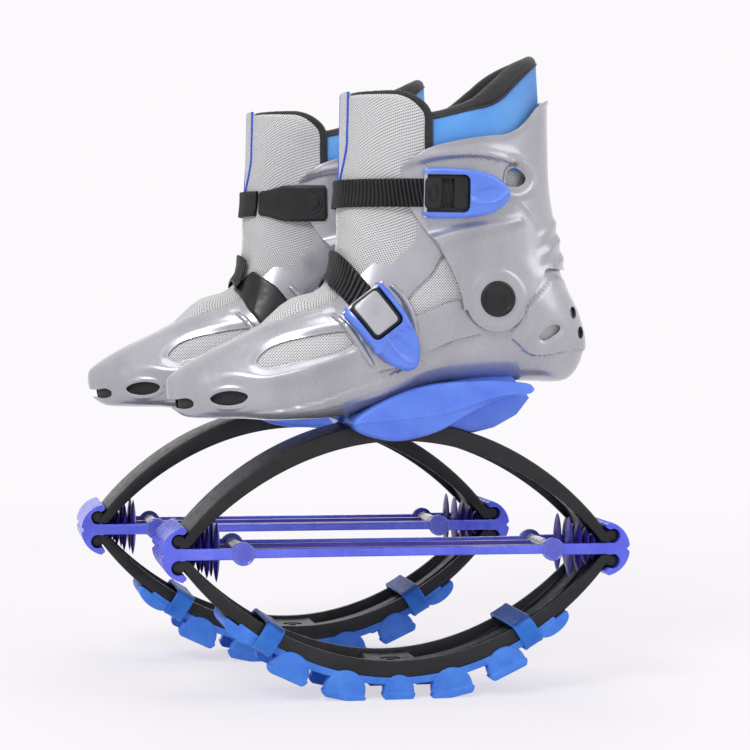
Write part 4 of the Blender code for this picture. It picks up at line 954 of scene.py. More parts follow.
def plumped(cage, pieces, cap):
    # swells a coarse copy with cloth under pressure, then moves the fine pieces along with it
    remesh = cage.modifiers.new("Even", "REMESH")
    remesh.mode, remesh.voxel_size = "VOXEL", softLook["voxel"]
    bpy.context.view_layer.update()
    settle(cage)
    before = places(cage)
    cloth = cage.modifiers.new("Cloth", "CLOTH")
    cloth.settings.use_pressure = True
    cloth.settings.uniform_pressure_force = softLook["pressure"]
    cloth.settings.effector_weights.gravity = 0
    cloth.settings.quality = 5
    cloth.point_cache.frame_end = softLook["frames"]
    for number in range(1, softLook["frames"] + 1):
        bpy.context.scene.frame_set(number)
    graph = bpy.context.evaluated_depsgraph_get()
    after = places(cage.evaluated_get(graph))
    cage.modifiers.clear()
    step = after - before
    size = np.linalg.norm(step, axis=1)[:, None]
    step *= np.minimum(1, cap / np.maximum(size, 1e-9))
    tree = KDTree(len(before))
    for i, point in enumerate(before):
        tree.insert(point, i)
    tree.balance()
    for piece in pieces:
        points = places(piece)
        shift = np.zeros_like(points)
        for i, point in enumerate(points):
            near = tree.find_n(point, 6)
            weights = np.array([1 / (gap + 0.001) for place, index, gap in near])
            shift[i] = weights @ step[[index for place, index, gap in near]] / weights.sum()
        moved(piece, points + shift)
    bpy.context.scene.frame_set(1)
    print("cloth swelled", cage.name, "by up to", round(float(size.max()) * 1000, 1), "mm before its cap")
    bpy.data.objects.remove(cage, do_unlink=True)


def bending():
    def join(obj, side):
        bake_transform(obj)
    return join


def sideMap(points):
    return points[:, 0], points[:, 2]


def roundMap(points):
    # round the leg and up it
    f = (0.03 - points[:, 0]) - 0.6 * np.maximum(0, 0.335 - points[:, 2])
    return 0.052 * np.arctan2(points[:, 1] / 0.043, f / 0.07), points[:, 2] + 0.41 * points[:, 0]


def linerRelief(points):
    # padding stands into the shell's openings
    out = np.zeros(len(points))
    for key, high in (("teardrop", 0.0006), ("ankleWindow", 0.0014), ("toeVent", -0.0010), ("heelVent", 0.0)):
        gap = signedGap(points, flow(shellLook[key], True, 3))
        out += high * (1 - smooth(gap, -0.008, 0.001))
    return out


def makeLiner():
    out, wallSize, around = softLook["out"], softLook["linerWall"], softLook["around"]
    outer = formGrid(0.8, 15.8, out, linerRelief, 0.12, around)
    inner = formGrid(1.6, 15.8, out - wallSize, None, 0.25, around)
    above = slab("Above", wideSquare, softLook["linerTop"], 0.6, "XY")
    liner = carve(wall("Liner", outer, inner, True), above)
    return weave(liner, sideMap)


def makeToeLining():
    # dark netting behind the toe vent and the toe slot
    out = softLook["out"] + 0.0004
    skins = [formGrid(0.5, 4, grow, linerRelief, 0.12, softLook["around"]) for grow in (out, out - 0.0006)]
    lining = wall("Toe lining", *skins)
    front = mm((-180, 205), (-112, 205), (-112, 234), (-180, 234))
    return weave(carve(lining, slab("Front", front), how="INTERSECT"), sideMap)


def collarRings(angles, line, grow):
    # the ring at which the form, seen from the side, meets a line
    line = flow(line)

    def above(points):
        return points[..., 2] - np.interp(points[..., 0], line[:, 0], line[:, 1])
    return ringWhere(above, 0.0, angles, grow, 12.0, 18.0)


def collarAngles(count):
    return evenAngles(15, count)


def collarGrid(count, kind):
    s = softLook
    angles = collarAngles(count)
    out, inside = s["out"], s["collarIn"]
    top, seam = collarRings(angles, s["collarTop"], out), collarRings(angles, s["seam"], out)
    first = ringWhere(lambda p: p[..., 2], s["collarFoot"], angles, out, 9.0, 18.0)
    tall = formAt(top, angles, out)[:, 2] - formAt(top - 1, angles, out)[:, 2]
    roll, mid = (out - inside) / 2, (out + inside) / 2
    drop = roll / tall
    section = []
    if kind == "face":
        for share in np.linspace(0, 1, 26):
            swell = 0.0012 * math.sin(math.pi * share) ** 0.6
            section.append((first + (seam - first) * share, out + swell * (1 - share**6)))
        section.append((seam + 0.0008 / tall, out - 0.0008))
        for share in np.linspace(1, 0, 9):
            section.append((first + (seam - first) * share, np.full(len(angles), out - 0.0022)))
    else:
        for share in np.linspace(0, 1, 14):
            section.append((first + (seam - first) * share, np.full(len(angles), out - 0.0014)))
        section.append((seam + (top - drop - seam) * 0.35, np.full(len(angles), out + 0.0002)))
        section.append((seam + (top - drop - seam) * 0.75, np.full(len(angles), out + 0.0002)))
        for turn in np.radians(np.linspace(0, 180, 15)):
            grow = np.full(len(angles), mid + roll * math.cos(turn))
            section.append((top - drop + drop * math.sin(turn), grow))
        for share in np.linspace(0, 1, 16)[1:]:
            section.append((top - drop + (first - top + drop) * share, np.full(len(angles), inside)))
    return np.stack([formAt(ring, angles, grow) for ring, grow in section], 1)


def makeCollar():
    face = skin("Collar face", collarGrid(200, "face"), closed=True)
    lining = skin("Collar lining", collarGrid(200, "lining"), closed=True)
    cage = skin("Collar cage", collarGrid(90, "lining"), closed=True)
    angles = collarAngles(220)
    seam = formAt(collarRings(angles, softLook["seam"], softLook["out"]), angles, softLook["out"] + 0.0001)
    thread = rod("Collar seam", seam, 0.0009, 8, closed=True)
    plumped(cage, (face, lining, thread), softLook["collarCap"])
    return weave(face, roundMap), weave(lining, roundMap), thread


def tongueLast(shares):
    # the ring where the tongue ends: level across the top, with rounded corners
    s = softLook
    angles = math.radians(s["tongueReach"][1]) * shares
    half = 0.055
    gone = np.clip(1 - (1 - np.abs(shares)) * half / s["corner"], 0, 1)
    top = s["tongueTop"] - s["corner"] * (1 - np.sqrt(1 - gone**2))
    return ringWhere(lambda p: p[..., 2], top, angles, s["tongueEdge"][0], 11.0, 18.0)


def tongueAngle(rings):
    low, high = np.radians(softLook["tongueReach"])
    return low + (high - low) * np.clip((rings - 5.5) / 3, 0, 1)


def tongueFace(rings, shares):
    # how far the tongue's face stands out of the form
    s = softLook
    leg = np.clip((rings - 5.5) / 3, 0, 1)
    over = smooth(rings, 11.8, 13.2)
    edge = s["out"] + (s["tongueEdge"][0] - s["out"]) * over
    crown = np.maximum(leg, 0.5 * smooth(rings, 2.9, 4.0))
    swell = s["instepSwell"] * np.exp(-(((rings - 3.8) / 0.6) ** 2)) * (1 - shares**2)
    return edge + (s["tongueProud"] - edge) * crown * (1 - np.abs(shares) ** 3) + swell


def tongueShape(rings, shares, last):
    # angle, then outer and inner offsets, at shares across from -1 to 1
    s = softLook
    outer = tongueFace(rings, shares)
    back = smooth(rings, 11.8, 13.2) * smooth(np.abs(shares), 0.6, 0.95)
    inner = s["tongueIn"] + (s["tongueEdge"][1] - s["tongueIn"]) * back
    tip = np.sqrt(np.clip(1 - np.clip(1 - (last - rings) / 0.35, 0, 1) ** 2, 0.02, 1))
    thick = (outer - inner) * np.sqrt(np.clip(1 - np.abs(shares) ** 8, 0.03, 1)) * tip
    mid = (outer + inner) / 2
    return tongueAngle(rings) * shares, mid + thick / 2, mid - thick / 2


def tongueGrid(rows, across):
    first = softLook["tongueFirst"]
    shares = np.sin(np.linspace(-math.pi / 2, math.pi / 2, across))
    last = tongueLast(shares)[None, :]
    rings = last - (last - first) * ((1 - np.sin(np.linspace(0, math.pi / 2, rows))) ** 1.15)[:, None]
    angles, outer, inner = tongueShape(rings, shares[None, :] * np.ones((rows, 1)), last)
    return np.concatenate([formAt(rings, angles, outer), formAt(rings, angles, inner)[:, ::-1]], 1)


def tongueAt(across, heights, lift):
    # a point of the tongue's face, by its distance across from the middle and its height
    angles = np.radians(np.linspace(-75, 75, 61))
    heights, across = np.asarray(heights, float), np.asarray(across, float)
    proud = softLook["tongueProud"]
    rings = ringWhere(lambda p: p[..., 2], heights[:, None], angles[None, :], proud)
    track = formAt(rings, angles[None, :], proud)
    gone = np.concatenate([np.zeros((len(heights), 1)),
                           np.cumsum(np.linalg.norm(np.diff(track, axis=1), axis=2), axis=1)], 1)
    gone -= gone[:, 30:31]
    found = [(np.interp(s, row, angles), np.interp(s, row, ring))
             for s, row, ring in zip(across, gone, rings)]
    turn, ring = np.array(found).T
    share = np.clip(turn / tongueAngle(ring), -1, 1)
    return formAt(ring, turn, tongueFace(ring, share) + lift)


panelLook = {
    "top": 0.4478,
    "foot": 0.3785,
    "halfTop": 0.0140,
    "halfFoot": 0.0012,
    "waist": 0.412,
    "piping": 0.0009,
    "hemFoot": 0.332,
    "hemHalf": 0.0022,
    "stitch": 0.0017,
    "stitchStep": 0.0028,
    "thread": 0.00028,
}


def panelHalf(z):
    p = panelLook
    return p["halfFoot"] + (p["halfTop"] - p["halfFoot"]) * smooth(z, p["foot"] - 0.004, p["waist"])


def makePanel():
    # the smooth face down the tongue's front
    p = panelLook
    heights = np.linspace(p["top"], p["foot"], 46)
    shares = np.linspace(-1, 1, 19)
    rings = []
    for share in shares:
        over = tongueAt(share * panelHalf(heights), heights, 0.0005 - 0.0006 * share**8)
        under = tongueAt(share * panelHalf(heights), heights, -0.0016)
        rings.append(np.concatenate([over, under[::-1]]))
    return skin("Panel", rings)


def makePanelPiping():
    p = panelLook
    heights = np.linspace(p["top"], p["foot"], 50)
    right = tongueAt(-panelHalf(heights), heights, 0.0004)
    left = tongueAt(panelHalf(heights), heights, 0.0004)
    return rod("Piping", np.concatenate([right, left[::-1]]), p["piping"], 10, 1.0, (1, 0, 0.3))


def makeHem():
    # a folded hem with stitches, down the tongue's middle under the face
    p = panelLook
    heights = np.linspace(p["foot"] + 0.004, p["hemFoot"], 40)
    hem = rod("Hem", tongueAt(np.zeros(40), heights, 0.0), p["hemHalf"], 12, 0.42, (-1, 0, 0.4))
    for edge in (-1, 1):
        for z in np.arange(p["hemFoot"] + 0.001, p["foot"], p["stitchStep"]):
            across = np.full(5, edge * (p["hemHalf"] + 0.0009))
            stitch = tongueAt(across, np.linspace(z, z + p["stitch"], 5), 0.0001)
            size = p["thread"] * np.array((0.5, 1, 1, 1, 0.5))
            hem = merged(hem, rod("Stitch", stitch, size, 6, 1.0, (-1, 0, 0.4)))
    return hem


def makeBinding():
    # a roll of tape round the tongue's edge
    shares = np.linspace(-1, 1, 161)
    last = tongueLast(shares)
    angles, outer, inner = tongueShape(last, shares, last)
    over = formAt(last, angles, (outer + inner) / 2)
    rings = np.linspace(8.0, last[0], 60)[:-1]
    line = []
    for side in (-1, 1):
        angles, outer, inner = tongueShape(rings, np.full(59, float(side)), last[0])
        line.append(formAt(rings, angles, (outer + inner) / 2))
    path = np.concatenate([line[0], over, line[1][::-1]])
    gone = travelled(path)
    even = np.linspace(0, gone[-1], 220)
    path = np.stack([np.interp(even, gone, path[:, i]) for i in range(3)], -1)
    for turn in range(4):
        path[1:-1] = (path[:-2] + 2 * path[1:-1] + path[2:]) / 4
    ahead = np.gradient(path, axis=0)
    middleLine = np.array((0.02, 0, 0)) * np.ones_like(path)
    middleLine[:, 2] = path[:, 2]
    outward = path - middleLine
    outward -= ahead * (np.sum(outward * ahead, 1) / np.sum(ahead * ahead, 1))[:, None]
    return rod("Binding", path, softLook["binding"], 14, 0.68, outward)


def makeTongue():
    tongue = skin("Tongue", tongueGrid(90, 47))
    cage = skin("Tongue cage", tongueGrid(40, 21))
    pieces = tongue, makeBinding(), makePanel(), makePanelPiping(), makeHem()
    plumped(cage, pieces, softLook["tongueCap"])
    weave(tongue, roundMap)
    return pieces


wear(makeLiner(), "inner_boot", "grey_mesh", "liner_boot", 0, bending())
wear(makeToeLining(), "toe_lining", "black_mesh", "liner_boot", 0, bending(), whole=False)
print("liners made")
collarFace, collarLining, collarSeam = makeCollar()
wear(collarLining, "collar_lining", "black_mesh", "liner_collar", 0, bending(), whole=False)
wear(collarFace, "collar_face", "blue_fabric", "liner_collar", 0, bending())
wear(collarSeam, "collar_seam", "black_tape", "liner_collar", 0, bending(), whole=False)
print("collars made")
tongue, binding, panel, piping, hem = makeTongue()
wear(tongue, "padded_tongue", "grey_mesh", "tongue", 0, bending())
for piece, name, tape, sharp in ((binding, "binding", "black_tape", 0), (panel, "face", "grey_face", 40),
                                 (piping, "piping", "blue_tape", 0), (hem, "hem", "pale_tape", 40)):
    wear(piece, "tongue_" + name, tape, "tongue", sharp, bending(), whole=False)
print("tongues made")


# Straps over the boot, with their buckles and pads

strapLook = {
    "half": 0.01025,
    "thick": 0.0026,
    "under": 0.0006,
    "rise": 0.0045,
    "tail": 0.0125,
    "mouth": 0.0205,
    "frameReach": 0.0165,
    "frameHalf": 0.01325,
    "windowHalf": 0.01385,
    "windowEnd": 0.0171,
    "leverHalf": 0.0185,
    "leverLength": 0.066,
    "leverStart": -0.0177,
    "leverFloor": 0.0022,
    "leverTop": 0.0092,
    "pin": (-0.0153, 0.0060, 0.0015),
    "leverShares": ((0, 0.40), (0.02, 0.46), (0.10, 0.50), (0.30, 0.50), (0.50, 0.48), (0.68, 0.43),
                    (0.80, 0.37), (0.90, 0.26), (0.95, 0.185), (0.985, 0.10), (1, 0)),
    "padLength": 0.058,
    "padHalf": 0.0145,
    "padThick": 0.0034,
    "padShares": ((0, 0.34), (0.12, 0.36), (0.32, 0.46), (0.45, 0.50), (0.93, 0.50), (0.98, 0.47), (1, 0.42)),
    "instepLean": 38.0,
    "instepRing": 5.718,
}


class Wrap:
    # a strap's way: a plane through the form, the layer it lies on, and the places of its buckle and pad

    def __init__(self, normal, point, seat, buckleX, headAngle, pitch, tooth):
        self.normal = np.array(normal, float)
        self.distance = float(np.dot(point, self.normal))
        self.seat, self.pitch, self.tooth = seat, pitch, tooth
        self.head = math.radians(headAngle)
        fan = -np.radians(np.linspace(1, 150, 300))
        line = self.point(fan, seat)
        self.buckle = self.base(float(np.interp(buckleX, line[:, 0], fan)), seat)
        local = (line - self.buckle["place"]) @ self.buckle["axes"].T
        self.tail = float(np.interp(strapLook["tail"], local[:, 0], fan))
        self.mouth = float(np.interp(-strapLook["mouth"], local[:, 0], fan))
        start = self.point(np.array([self.head]), strapLook["rise"])[0]
        fan = np.radians(np.linspace(1, 150, 300))
        line = self.point(fan, seat)
        angle = float(np.interp(start[0] + strapLook["padLength"] * 0.42, line[:, 0], fan))
        self.pad = self.base(angle, seat)
        self.padStart = float(((start - self.pad["place"]) @ self.pad["axes"].T)[0]) + 0.0006

    def rings(self, angles, grow, across=0.0):
        goal = self.distance + np.asarray(across, float)
        return ringWhere(lambda p: p @ self.normal, goal, np.asarray(angles, float), grow)

    def point(self, angles, grow, across=0.0):
        return formAt(self.rings(angles, grow, across), angles, grow)

    def base(self, angle, grow):
        # a flat frame on the form: along the strap to the back, across it, and out
        step = math.radians(4) * math.copysign(1, angle)
        here, before, after = self.point(np.array([angle, angle - step, angle + step]), grow)
        low, high = self.point(np.array([angle, angle]), grow, np.array((-0.01, 0.01)))
        along = (after - before) / np.linalg.norm(after - before)
        out = np.cross(along, high - low)
        out /= np.linalg.norm(out)
        if out[1] * angle < 0:
            out = -out
        ring = float(self.rings(np.array([angle]), grow)[0])
        axes = np.array((along, np.cross(out, along), out))
        return {"place": here, "axes": axes, "ring": ring, "angle": angle}

    def lay(self, base, flat):
        # carries flat points (along, across, height over the seat) on to the form
        ring, angle = np.full(len(flat), base["ring"]), np.full(len(flat), base["angle"])
        grow, small = self.seat + flat[:, 2], 1e-3

        def local(ring, angle):
            return ((formAt(ring, angle, grow) - base["place"]) @ base["axes"].T)[:, :2]
        for turn in range(14):
            here = local(ring, angle)
            error = flat[:, :2] - here
            a, b = (local(ring + small, angle) - here) / small, (local(ring, angle + small) - here) / small
            scale = a[:, 0] * b[:, 1] - a[:, 1] * b[:, 0]
            scale = np.where(np.abs(scale) < 1e-9, 1e-9, scale)
            ring += np.clip((error[:, 0] * b[:, 1] - error[:, 1] * b[:, 0]) / scale, -0.5, 0.5)
            angle += np.clip((a[:, 0] * error[:, 1] - a[:, 1] * error[:, 0]) / scale, -0.2, 0.2)
            ring = np.clip(ring, 3, 18)
        return formAt(ring, angle, grow)

    def laid(self, piece, base=None):
        form = bmesh.new()
        form.from_mesh(piece.data)
        for turn in range(6):
            bmesh.ops.triangulate(form, faces=[face for face in form.faces if len(face.verts) > 4])
            long = [edge for edge in form.edges if edge.calc_length() > 0.0045]
            if long and turn < 5:
                bmesh.ops.subdivide_edges(form, edges=long, cuts=1)
        form.to_mesh(piece.data)
        moved(piece, self.lay(base or self.buckle, places(piece)))
        form.free()
        form = bmesh.new()
        form.from_mesh(piece.data)
        bmesh.ops.recalc_face_normals(form, faces=form.faces)
        form.to_mesh(piece.data)
        form.free()
        return piece


lean = math.radians(strapLook["instepLean"])
ankleWrap = Wrap((0, 0, 1), (0, 0, 0.373), 0.0044, 0.0270, 26.1, 0.0029, 0.0011)
instepWrap = Wrap((math.cos(lean), 0, math.sin(lean)), formAt(strapLook["instepRing"], 0.0), 0.0, -0.0240,
                  26.65, 0.0040, 0.0014)
print("strap ways found")


def makeStrap(wrap):
    # a ladder strap: a ridge for every tooth, right across
    s = strapLook
    fan = np.linspace(wrap.tail, wrap.head, 900)
    line = wrap.point(fan, s["rise"])
    gone = travelled(line)
    at = np.linspace(0, gone[-1], int(gone[-1] / wrap.pitch * 10))
    angles = np.interp(at, gone, fan)
    share = np.clip(angles / wrap.mouth, 0, 1)
    low = s["rise"] + (wrap.seat - s["rise"]) * share**3 + s["under"]
    turn = (at / wrap.pitch) % 1
    tooth = np.interp(turn, (0, 0.10, 0.22, 0.66, 0.86, 1), (0, 0, 0.9, 1, 0.55, 0))
    high = low + s["thick"] - wrap.tooth * (1 - tooth)
    across = np.array((-1, -0.985, -0.93, -0.5, 0, 0.5, 0.93, 0.985, 1)) * s["half"]
    drop = np.array((0.0008, 0.0003, 0, 0, 0, 0, 0, 0.0003, 0.0008))
    rings = []
    for v, d in zip(across, drop):
        rings.append(wrap.point(angles, high - d, v))
    for v in (across[-1], 0.0, across[0]):
        rings.append(wrap.point(angles, low, v))
    return skin("Strap", np.stack(rings, 1))


def roundedBox(low, high, corner, edge, floor, top, name="Block"):
    # a block with rounded upright corners and eased rims
    (x0, y0), (x1, y1) = low, high
    line = np.vstack([arcPoints(x1 - corner, y1 - corner, corner, 0, 90, 9),
                      arcPoints(x0 + corner, y1 - corner, corner, 90, 180, 9),
                      arcPoints(x0 + corner, y0 + corner, corner, 180, 270, 9),
                      arcPoints(x1 - corner, y0 + corner, corner, 270, 360, 9)])
    return plate(name, eased(line, 0.0008, 1), floor, top, edge, "XY")


def makeHousing(plainPlate):
    # a ratchet body: floor and rails, a raised block with an oval ring, a recess and a rear plate
    s = strapLook
    reach, half = s["frameReach"], s["frameHalf"]
    body = roundedBox((-reach, -half), (reach, half), 0.0040, 0.0008, 0.0004, 0.0068)
    if plainPlate:
        cover = roundedBox((-reach + 0.0008, -half + 0.0010), (reach - 0.0010, half - 0.0010), 0.0035, 0.0009,
                           0.0060, 0.0084)
        return carve(body, cover, how="UNION")
    front = roundedBox((-reach + 0.0004, -half + 0.0022), (-reach + 0.0125, half - 0.0022), 0.0026, 0.0009,
                       0.0040, 0.0088)
    rear = roundedBox((0.0052, -half + 0.0018), (reach - 0.0008, half - 0.0018), 0.0034, 0.0006,
                      0.0040, 0.0077)
    well = roundedBox((-reach + 0.0118, -half + 0.0024), (0.0056, half - 0.0024), 0.0006, 0.0002,
                      0.0030, 0.02)
    body = carve(body, well)
    body = carve(body, front, rear, how="UNION")
    oval = np.stack([np.cos(onceRound(40)) * 0.0034 - reach + 0.0066,
                     np.sin(onceRound(40)) * 0.0062], -1)
    groove = rod("Groove", np.column_stack([oval, np.full(40, 0.0088)]), 0.0005, 8, closed=True)
    small = (oval - (-reach + 0.0066, 0)) * 0.62 + (-reach + 0.0066, 0)
    inner = rod("Groove", np.column_stack([small, np.full(40, 0.0088)]), 0.0004, 8, closed=True)
    return carve(body, groove, inner, solver="EXACT")


def makeCoverPlate():
    # the instep buckle's silver plate, let into its black body
    s = strapLook
    reach, half = s["frameReach"] - 0.0026, s["frameHalf"] - 0.0030
    return roundedBox((-reach, -half), (reach, half), 0.0026, 0.0005, 0.0070, 0.0089)


def leverHalfAt(x):
    s = strapLook
    line = flow(np.array(s["leverShares"]), False, 8)
    return 2 * s["leverHalf"] * np.interp((x - s["leverStart"]) / s["leverLength"], line[:, 0], line[:, 1])


def leverTop(x, y, half):
    # a smooth back that falls to the tip, with a lens-shaped dish and its raised lower lip
    s = strapLook
    share = (x - s["leverStart"]) / s["leverLength"]
    high = s["leverTop"] - 0.0022 * smooth(share, 0.45, 1.0) - 0.0006 * smooth(-share, -0.06, 0.0)
    gone = np.clip((half - np.abs(y)) / 0.0032, 0, 1)
    top = s["leverFloor"] + 0.0012 + (high - s["leverFloor"] - 0.0012) * np.sqrt(1 - (1 - gone) ** 2)
    cx, cy, a, b = s["leverStart"] + 0.725 * s["leverLength"], -0.0004, 0.0135, 0.0062
    dx, dy = (x - cx) / a, (y - cy - 0.0018 * ((x - cx) / a)) / b
    lens = np.sqrt(dx**2 + dy**2)
    top -= 0.0020 * (1 - smooth(lens, 0.55, 1.0)) * (0.6 + 0.4 * np.clip(dy, -1, 1))
    top += 0.0012 * np.exp(-(((lens - 1.02) / 0.12) ** 2)) * smooth(-dy, -0.2, 0.5)
    return top


def makeLever():
    s = strapLook
    stations = s["leverStart"] + s["leverLength"] * (1 - (1 - np.linspace(0, 1, 90)) ** 1.25) * 0.9985
    rings = []
    turn = np.sin(np.linspace(-math.pi / 2, math.pi / 2, 45))
    for x in stations:
        half = float(leverHalfAt(x))
        y = turn * half
        top = leverTop(np.full(45, x), y, half)
        over = np.stack([np.full(45, x), y, top], -1)
        under = [(x, half, s["leverFloor"]), (x, -half, s["leverFloor"])]
        rings.append(np.concatenate([over, under]))
    lever = skin("Lever", rings)
    window = roundedBox((-0.06, -s["windowHalf"]), (s["windowEnd"], s["windowHalf"]), 0.0050, 0.0003,
                        -0.01, 0.03)
    return carve(lever, window)


def makePin():
    x, w, r = strapLook["pin"]
    reach = strapLook["leverHalf"] + 0.0004
    profile = ((r * 0.6, -reach), (r, -reach + 0.0004), (r, reach - 0.0004), (r * 0.6, reach))
    return turned("Pin", profile, (x, 0, w), (0, 1, 0), 20)


def padTop(x, y, half):
    s = strapLook
    share = x / s["padLength"]
    gone = np.clip(np.minimum(half - np.abs(y), np.minimum(x, s["padLength"] - x) + 0.0002) / 0.0022, 0, 1)
    top = 0.0012 + (s["padThick"] - 0.0012) * np.sqrt(1 - (1 - gone) ** 2)
    # rings round the rear end, and a crease across the front
    ring = np.hypot(x - 0.80 * s["padLength"], y * 0.9)
    top -= 0.0005 * np.exp(-(((ring - 0.0085) / 0.0006) ** 2)) * (share > 0.62)
    top -= 0.0005 * np.exp(-(((ring - 0.0060) / 0.0006) ** 2)) * (share > 0.62)
    crease = (x - 0.26 * s["padLength"]) - y * 0.9
    top -= 0.0006 * smooth(-crease, -0.0004, 0.0006) * (share < 0.5) * smooth(share, 0.02, 0.1)
    return top


def makePad(wrap):
    s = strapLook
    line = flow(np.array(s["padShares"]), False, 6)
    stations = s["padLength"] * (0.002 + 0.996 * (1 - np.cos(np.linspace(0, math.pi, 80))) / 2)
    turn = np.sin(np.linspace(-math.pi / 2, math.pi / 2, 35))
    rings = []
    for x in stations:
        half = 2 * s["padHalf"] * float(np.interp(x / s["padLength"], line[:, 0], line[:, 1]))
        end = min(x, s["padLength"] - x)
        half -= 0.0030 * (1 - math.sqrt(1 - (1 - min(end / 0.0030, 1)) ** 2))
        y = turn * half
        top = padTop(np.full(35, x), y, half)
        over = np.stack([np.full(35, x + wrap.padStart), y, top], -1)
        under = [(x + wrap.padStart, half, 0.0006), (x + wrap.padStart, -half, 0.0006)]
        rings.append(np.concatenate([over, under]))
    return wrap.laid(skin("Pad", rings), wrap.pad)


for name, wrap in (("ankle", ankleWrap), ("instep", instepWrap)):
    instep = name == "instep"
    wear(makeStrap(wrap), name + "_ladder_strap", "strap_nylon", name + "_strap", 30)
    wear(wrap.laid(makeHousing(instep)), name + "_buckle", "black_trim", name + "_buckle_frame", 30)
    if instep:
        wear(wrap.laid(makeCoverPlate()), "instep_buckle_plate", "silver_plate", "instep_buckle_frame", 30,
             whole=False)
    wear(wrap.laid(makeLever()), name + "_lever", "lever_plastic", name + "_buckle_lever", 40)
    wear(wrap.laid(makePin()), name + "_lever_pin", "steel", name + "_buckle_frame", 40, whole=False)
    wear(makePad(wrap), name + "_pad", "pad_nylon", name + "_strap_pad")
print("straps and buckles made")


# Ankle pivots

pivotLook = {
    "place": (0.0675, 0.2965),
    "radius": 0.0133,
    "high": 0.003,
}


def makePivot(side):
    p = pivotLook
    low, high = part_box("left_pivot_" + ("inner" if side > 0 else "outer"))
    face = (high.y if side > 0 else low.y) - homes["left"].y
    base, r, h = face - side * p["high"], p["radius"], p["high"]
    profile = ((0.0002, h * 0.93), (r * 0.70, h * 0.93), (r * 0.735, h * 0.86), (r * 0.77, h * 0.99),
               (r * 0.90, h * 0.96), (r * 0.97, h * 0.80), (r, h * 0.45), (r, -0.002))
    x, z = p["place"]
    return turned("Pivot", [(a, b * side) for a, b in profile], (x, base, z), (0, 1, 0), 56)


for side, name in ((-1, "outer"), (1, "inner")):
    wear(makePivot(side), "ankle_pivot_" + name, "pad_nylon", "pivot_" + name, 40)
print("pivots made")


# Leaf arches of the spring

springLook = {
    "middle": 0.1095,
    "knobX": 0.164,
    "halfLength": 0.167,
    "rise": 0.096,
    "fullness": 1.2,
    "halfWidth": 0.030,
    "web": 0.0045,
    "wall": 0.0042,
    "crownDepth": 0.0145,
    "endDepth": 0.0075,
    "ribHalf": 0.0062,
    "ribDepth": 0.0098,
    "deckDepth": 0.0116,
    "deckReach": (0.019, 0.024),
    "knob": 0.0048,
    "knobOffset": 0.0096,
    "travel": 0.025,
}
middle = springLook["middle"]
seatGap = 0.0003


def archCurve(x):
    a, rise, full = springLook["halfLength"], springLook["rise"], springLook["fullness"]
    share = np.maximum(1 - (x / a) ** 2, 1e-4)
    return rise * share ** (1 / full), -2 * x / a**2 * rise / full * share ** (1 / full - 1)


def archDepth(x):
    s = springLook
    return s["endDepth"] + (s["crownDepth"] - s["endDepth"]) * np.maximum(1 - (x / s["knobX"]) ** 2, 0)


def archFrame(x):
    # the point on the arch's outer face, and the way in
    height, slope = archCurve(x)
    inward = np.array((slope, 0, -1.0))
    return np.array((x, 0, middle + height)), inward / np.linalg.norm(inward)


def archRoom(heightOf, level):
    # the room between an arch's outer face, at a height worked out from its own, and a level
    reach, half = 0.16, springLook["halfWidth"] + seatGap
    face = [(x, heightOf(archFrame(x)[0][2])) for x in np.linspace(-reach, reach, 121)]
    return slab("Arch", np.array(face + [(reach, level), (-reach, level)]), -half, half)


def archSection(x):
    # one half of the section, as distances across and in from the outer face
    s = springLook
    depth = float(archDepth(x))
    fade = min(1, max(0, (1 - abs(x) / s["knobX"]) * 8))
    fade = fade * fade * (3 - 2 * fade)
    near, far = s["deckReach"]
    deck = 1 - float(np.clip((abs(x) - near) / (far - near), 0, 1))
    web = s["web"] + (depth - 0.0004 - s["web"]) * (1 - fade)
    web += (s["deckDepth"] - web) * deck
    rib = max(web, (s["ribDepth"] * depth / s["crownDepth"]) * fade + (depth - 0.0002) * (1 - fade))
    half, core = s["halfWidth"], s["ribHalf"]
    lip = half - s["wall"]
    foot = min(0.0009, (depth - web) * 0.4)
    knee = min(0.0007, (rib - web) * 0.4)
    return [(half - 0.0016, 0), (half - 0.0008, 0.0002), (half - 0.0002, 0.0008), (half, 0.0016),
            (half, depth - 0.0010), (half - 0.0003, depth - 0.0003), (half - 0.0010, depth),
            (lip + 0.0008, depth), (lip + 0.0002, depth - 0.0002), (lip, depth - foot),
            (lip - 0.0008, web + foot), (lip - 0.0008 - foot, web), (core + 0.0008 + knee, web),
            (core + 0.0004, web + knee), (core, rib - knee), (core - knee, rib)]


def archGrid():
    turn = np.radians(np.linspace(-78, 78, 131))
    places = springLook["knobX"] * np.sin(turn) / math.sin(turn[-1])
    grid = []
    for x in np.sort(np.concatenate([places, *(np.array((-1, 1)) * k for k in springLook["deckReach"])])):
        point, inward = archFrame(x)
        side = archSection(x)
        outline = [(-y, d) for y, d in side] + [(y, d) for y, d in reversed(side)]
        grid.append([point + inward * d + np.array((0, y, 0)) for y, d in outline])
    return np.array(grid)


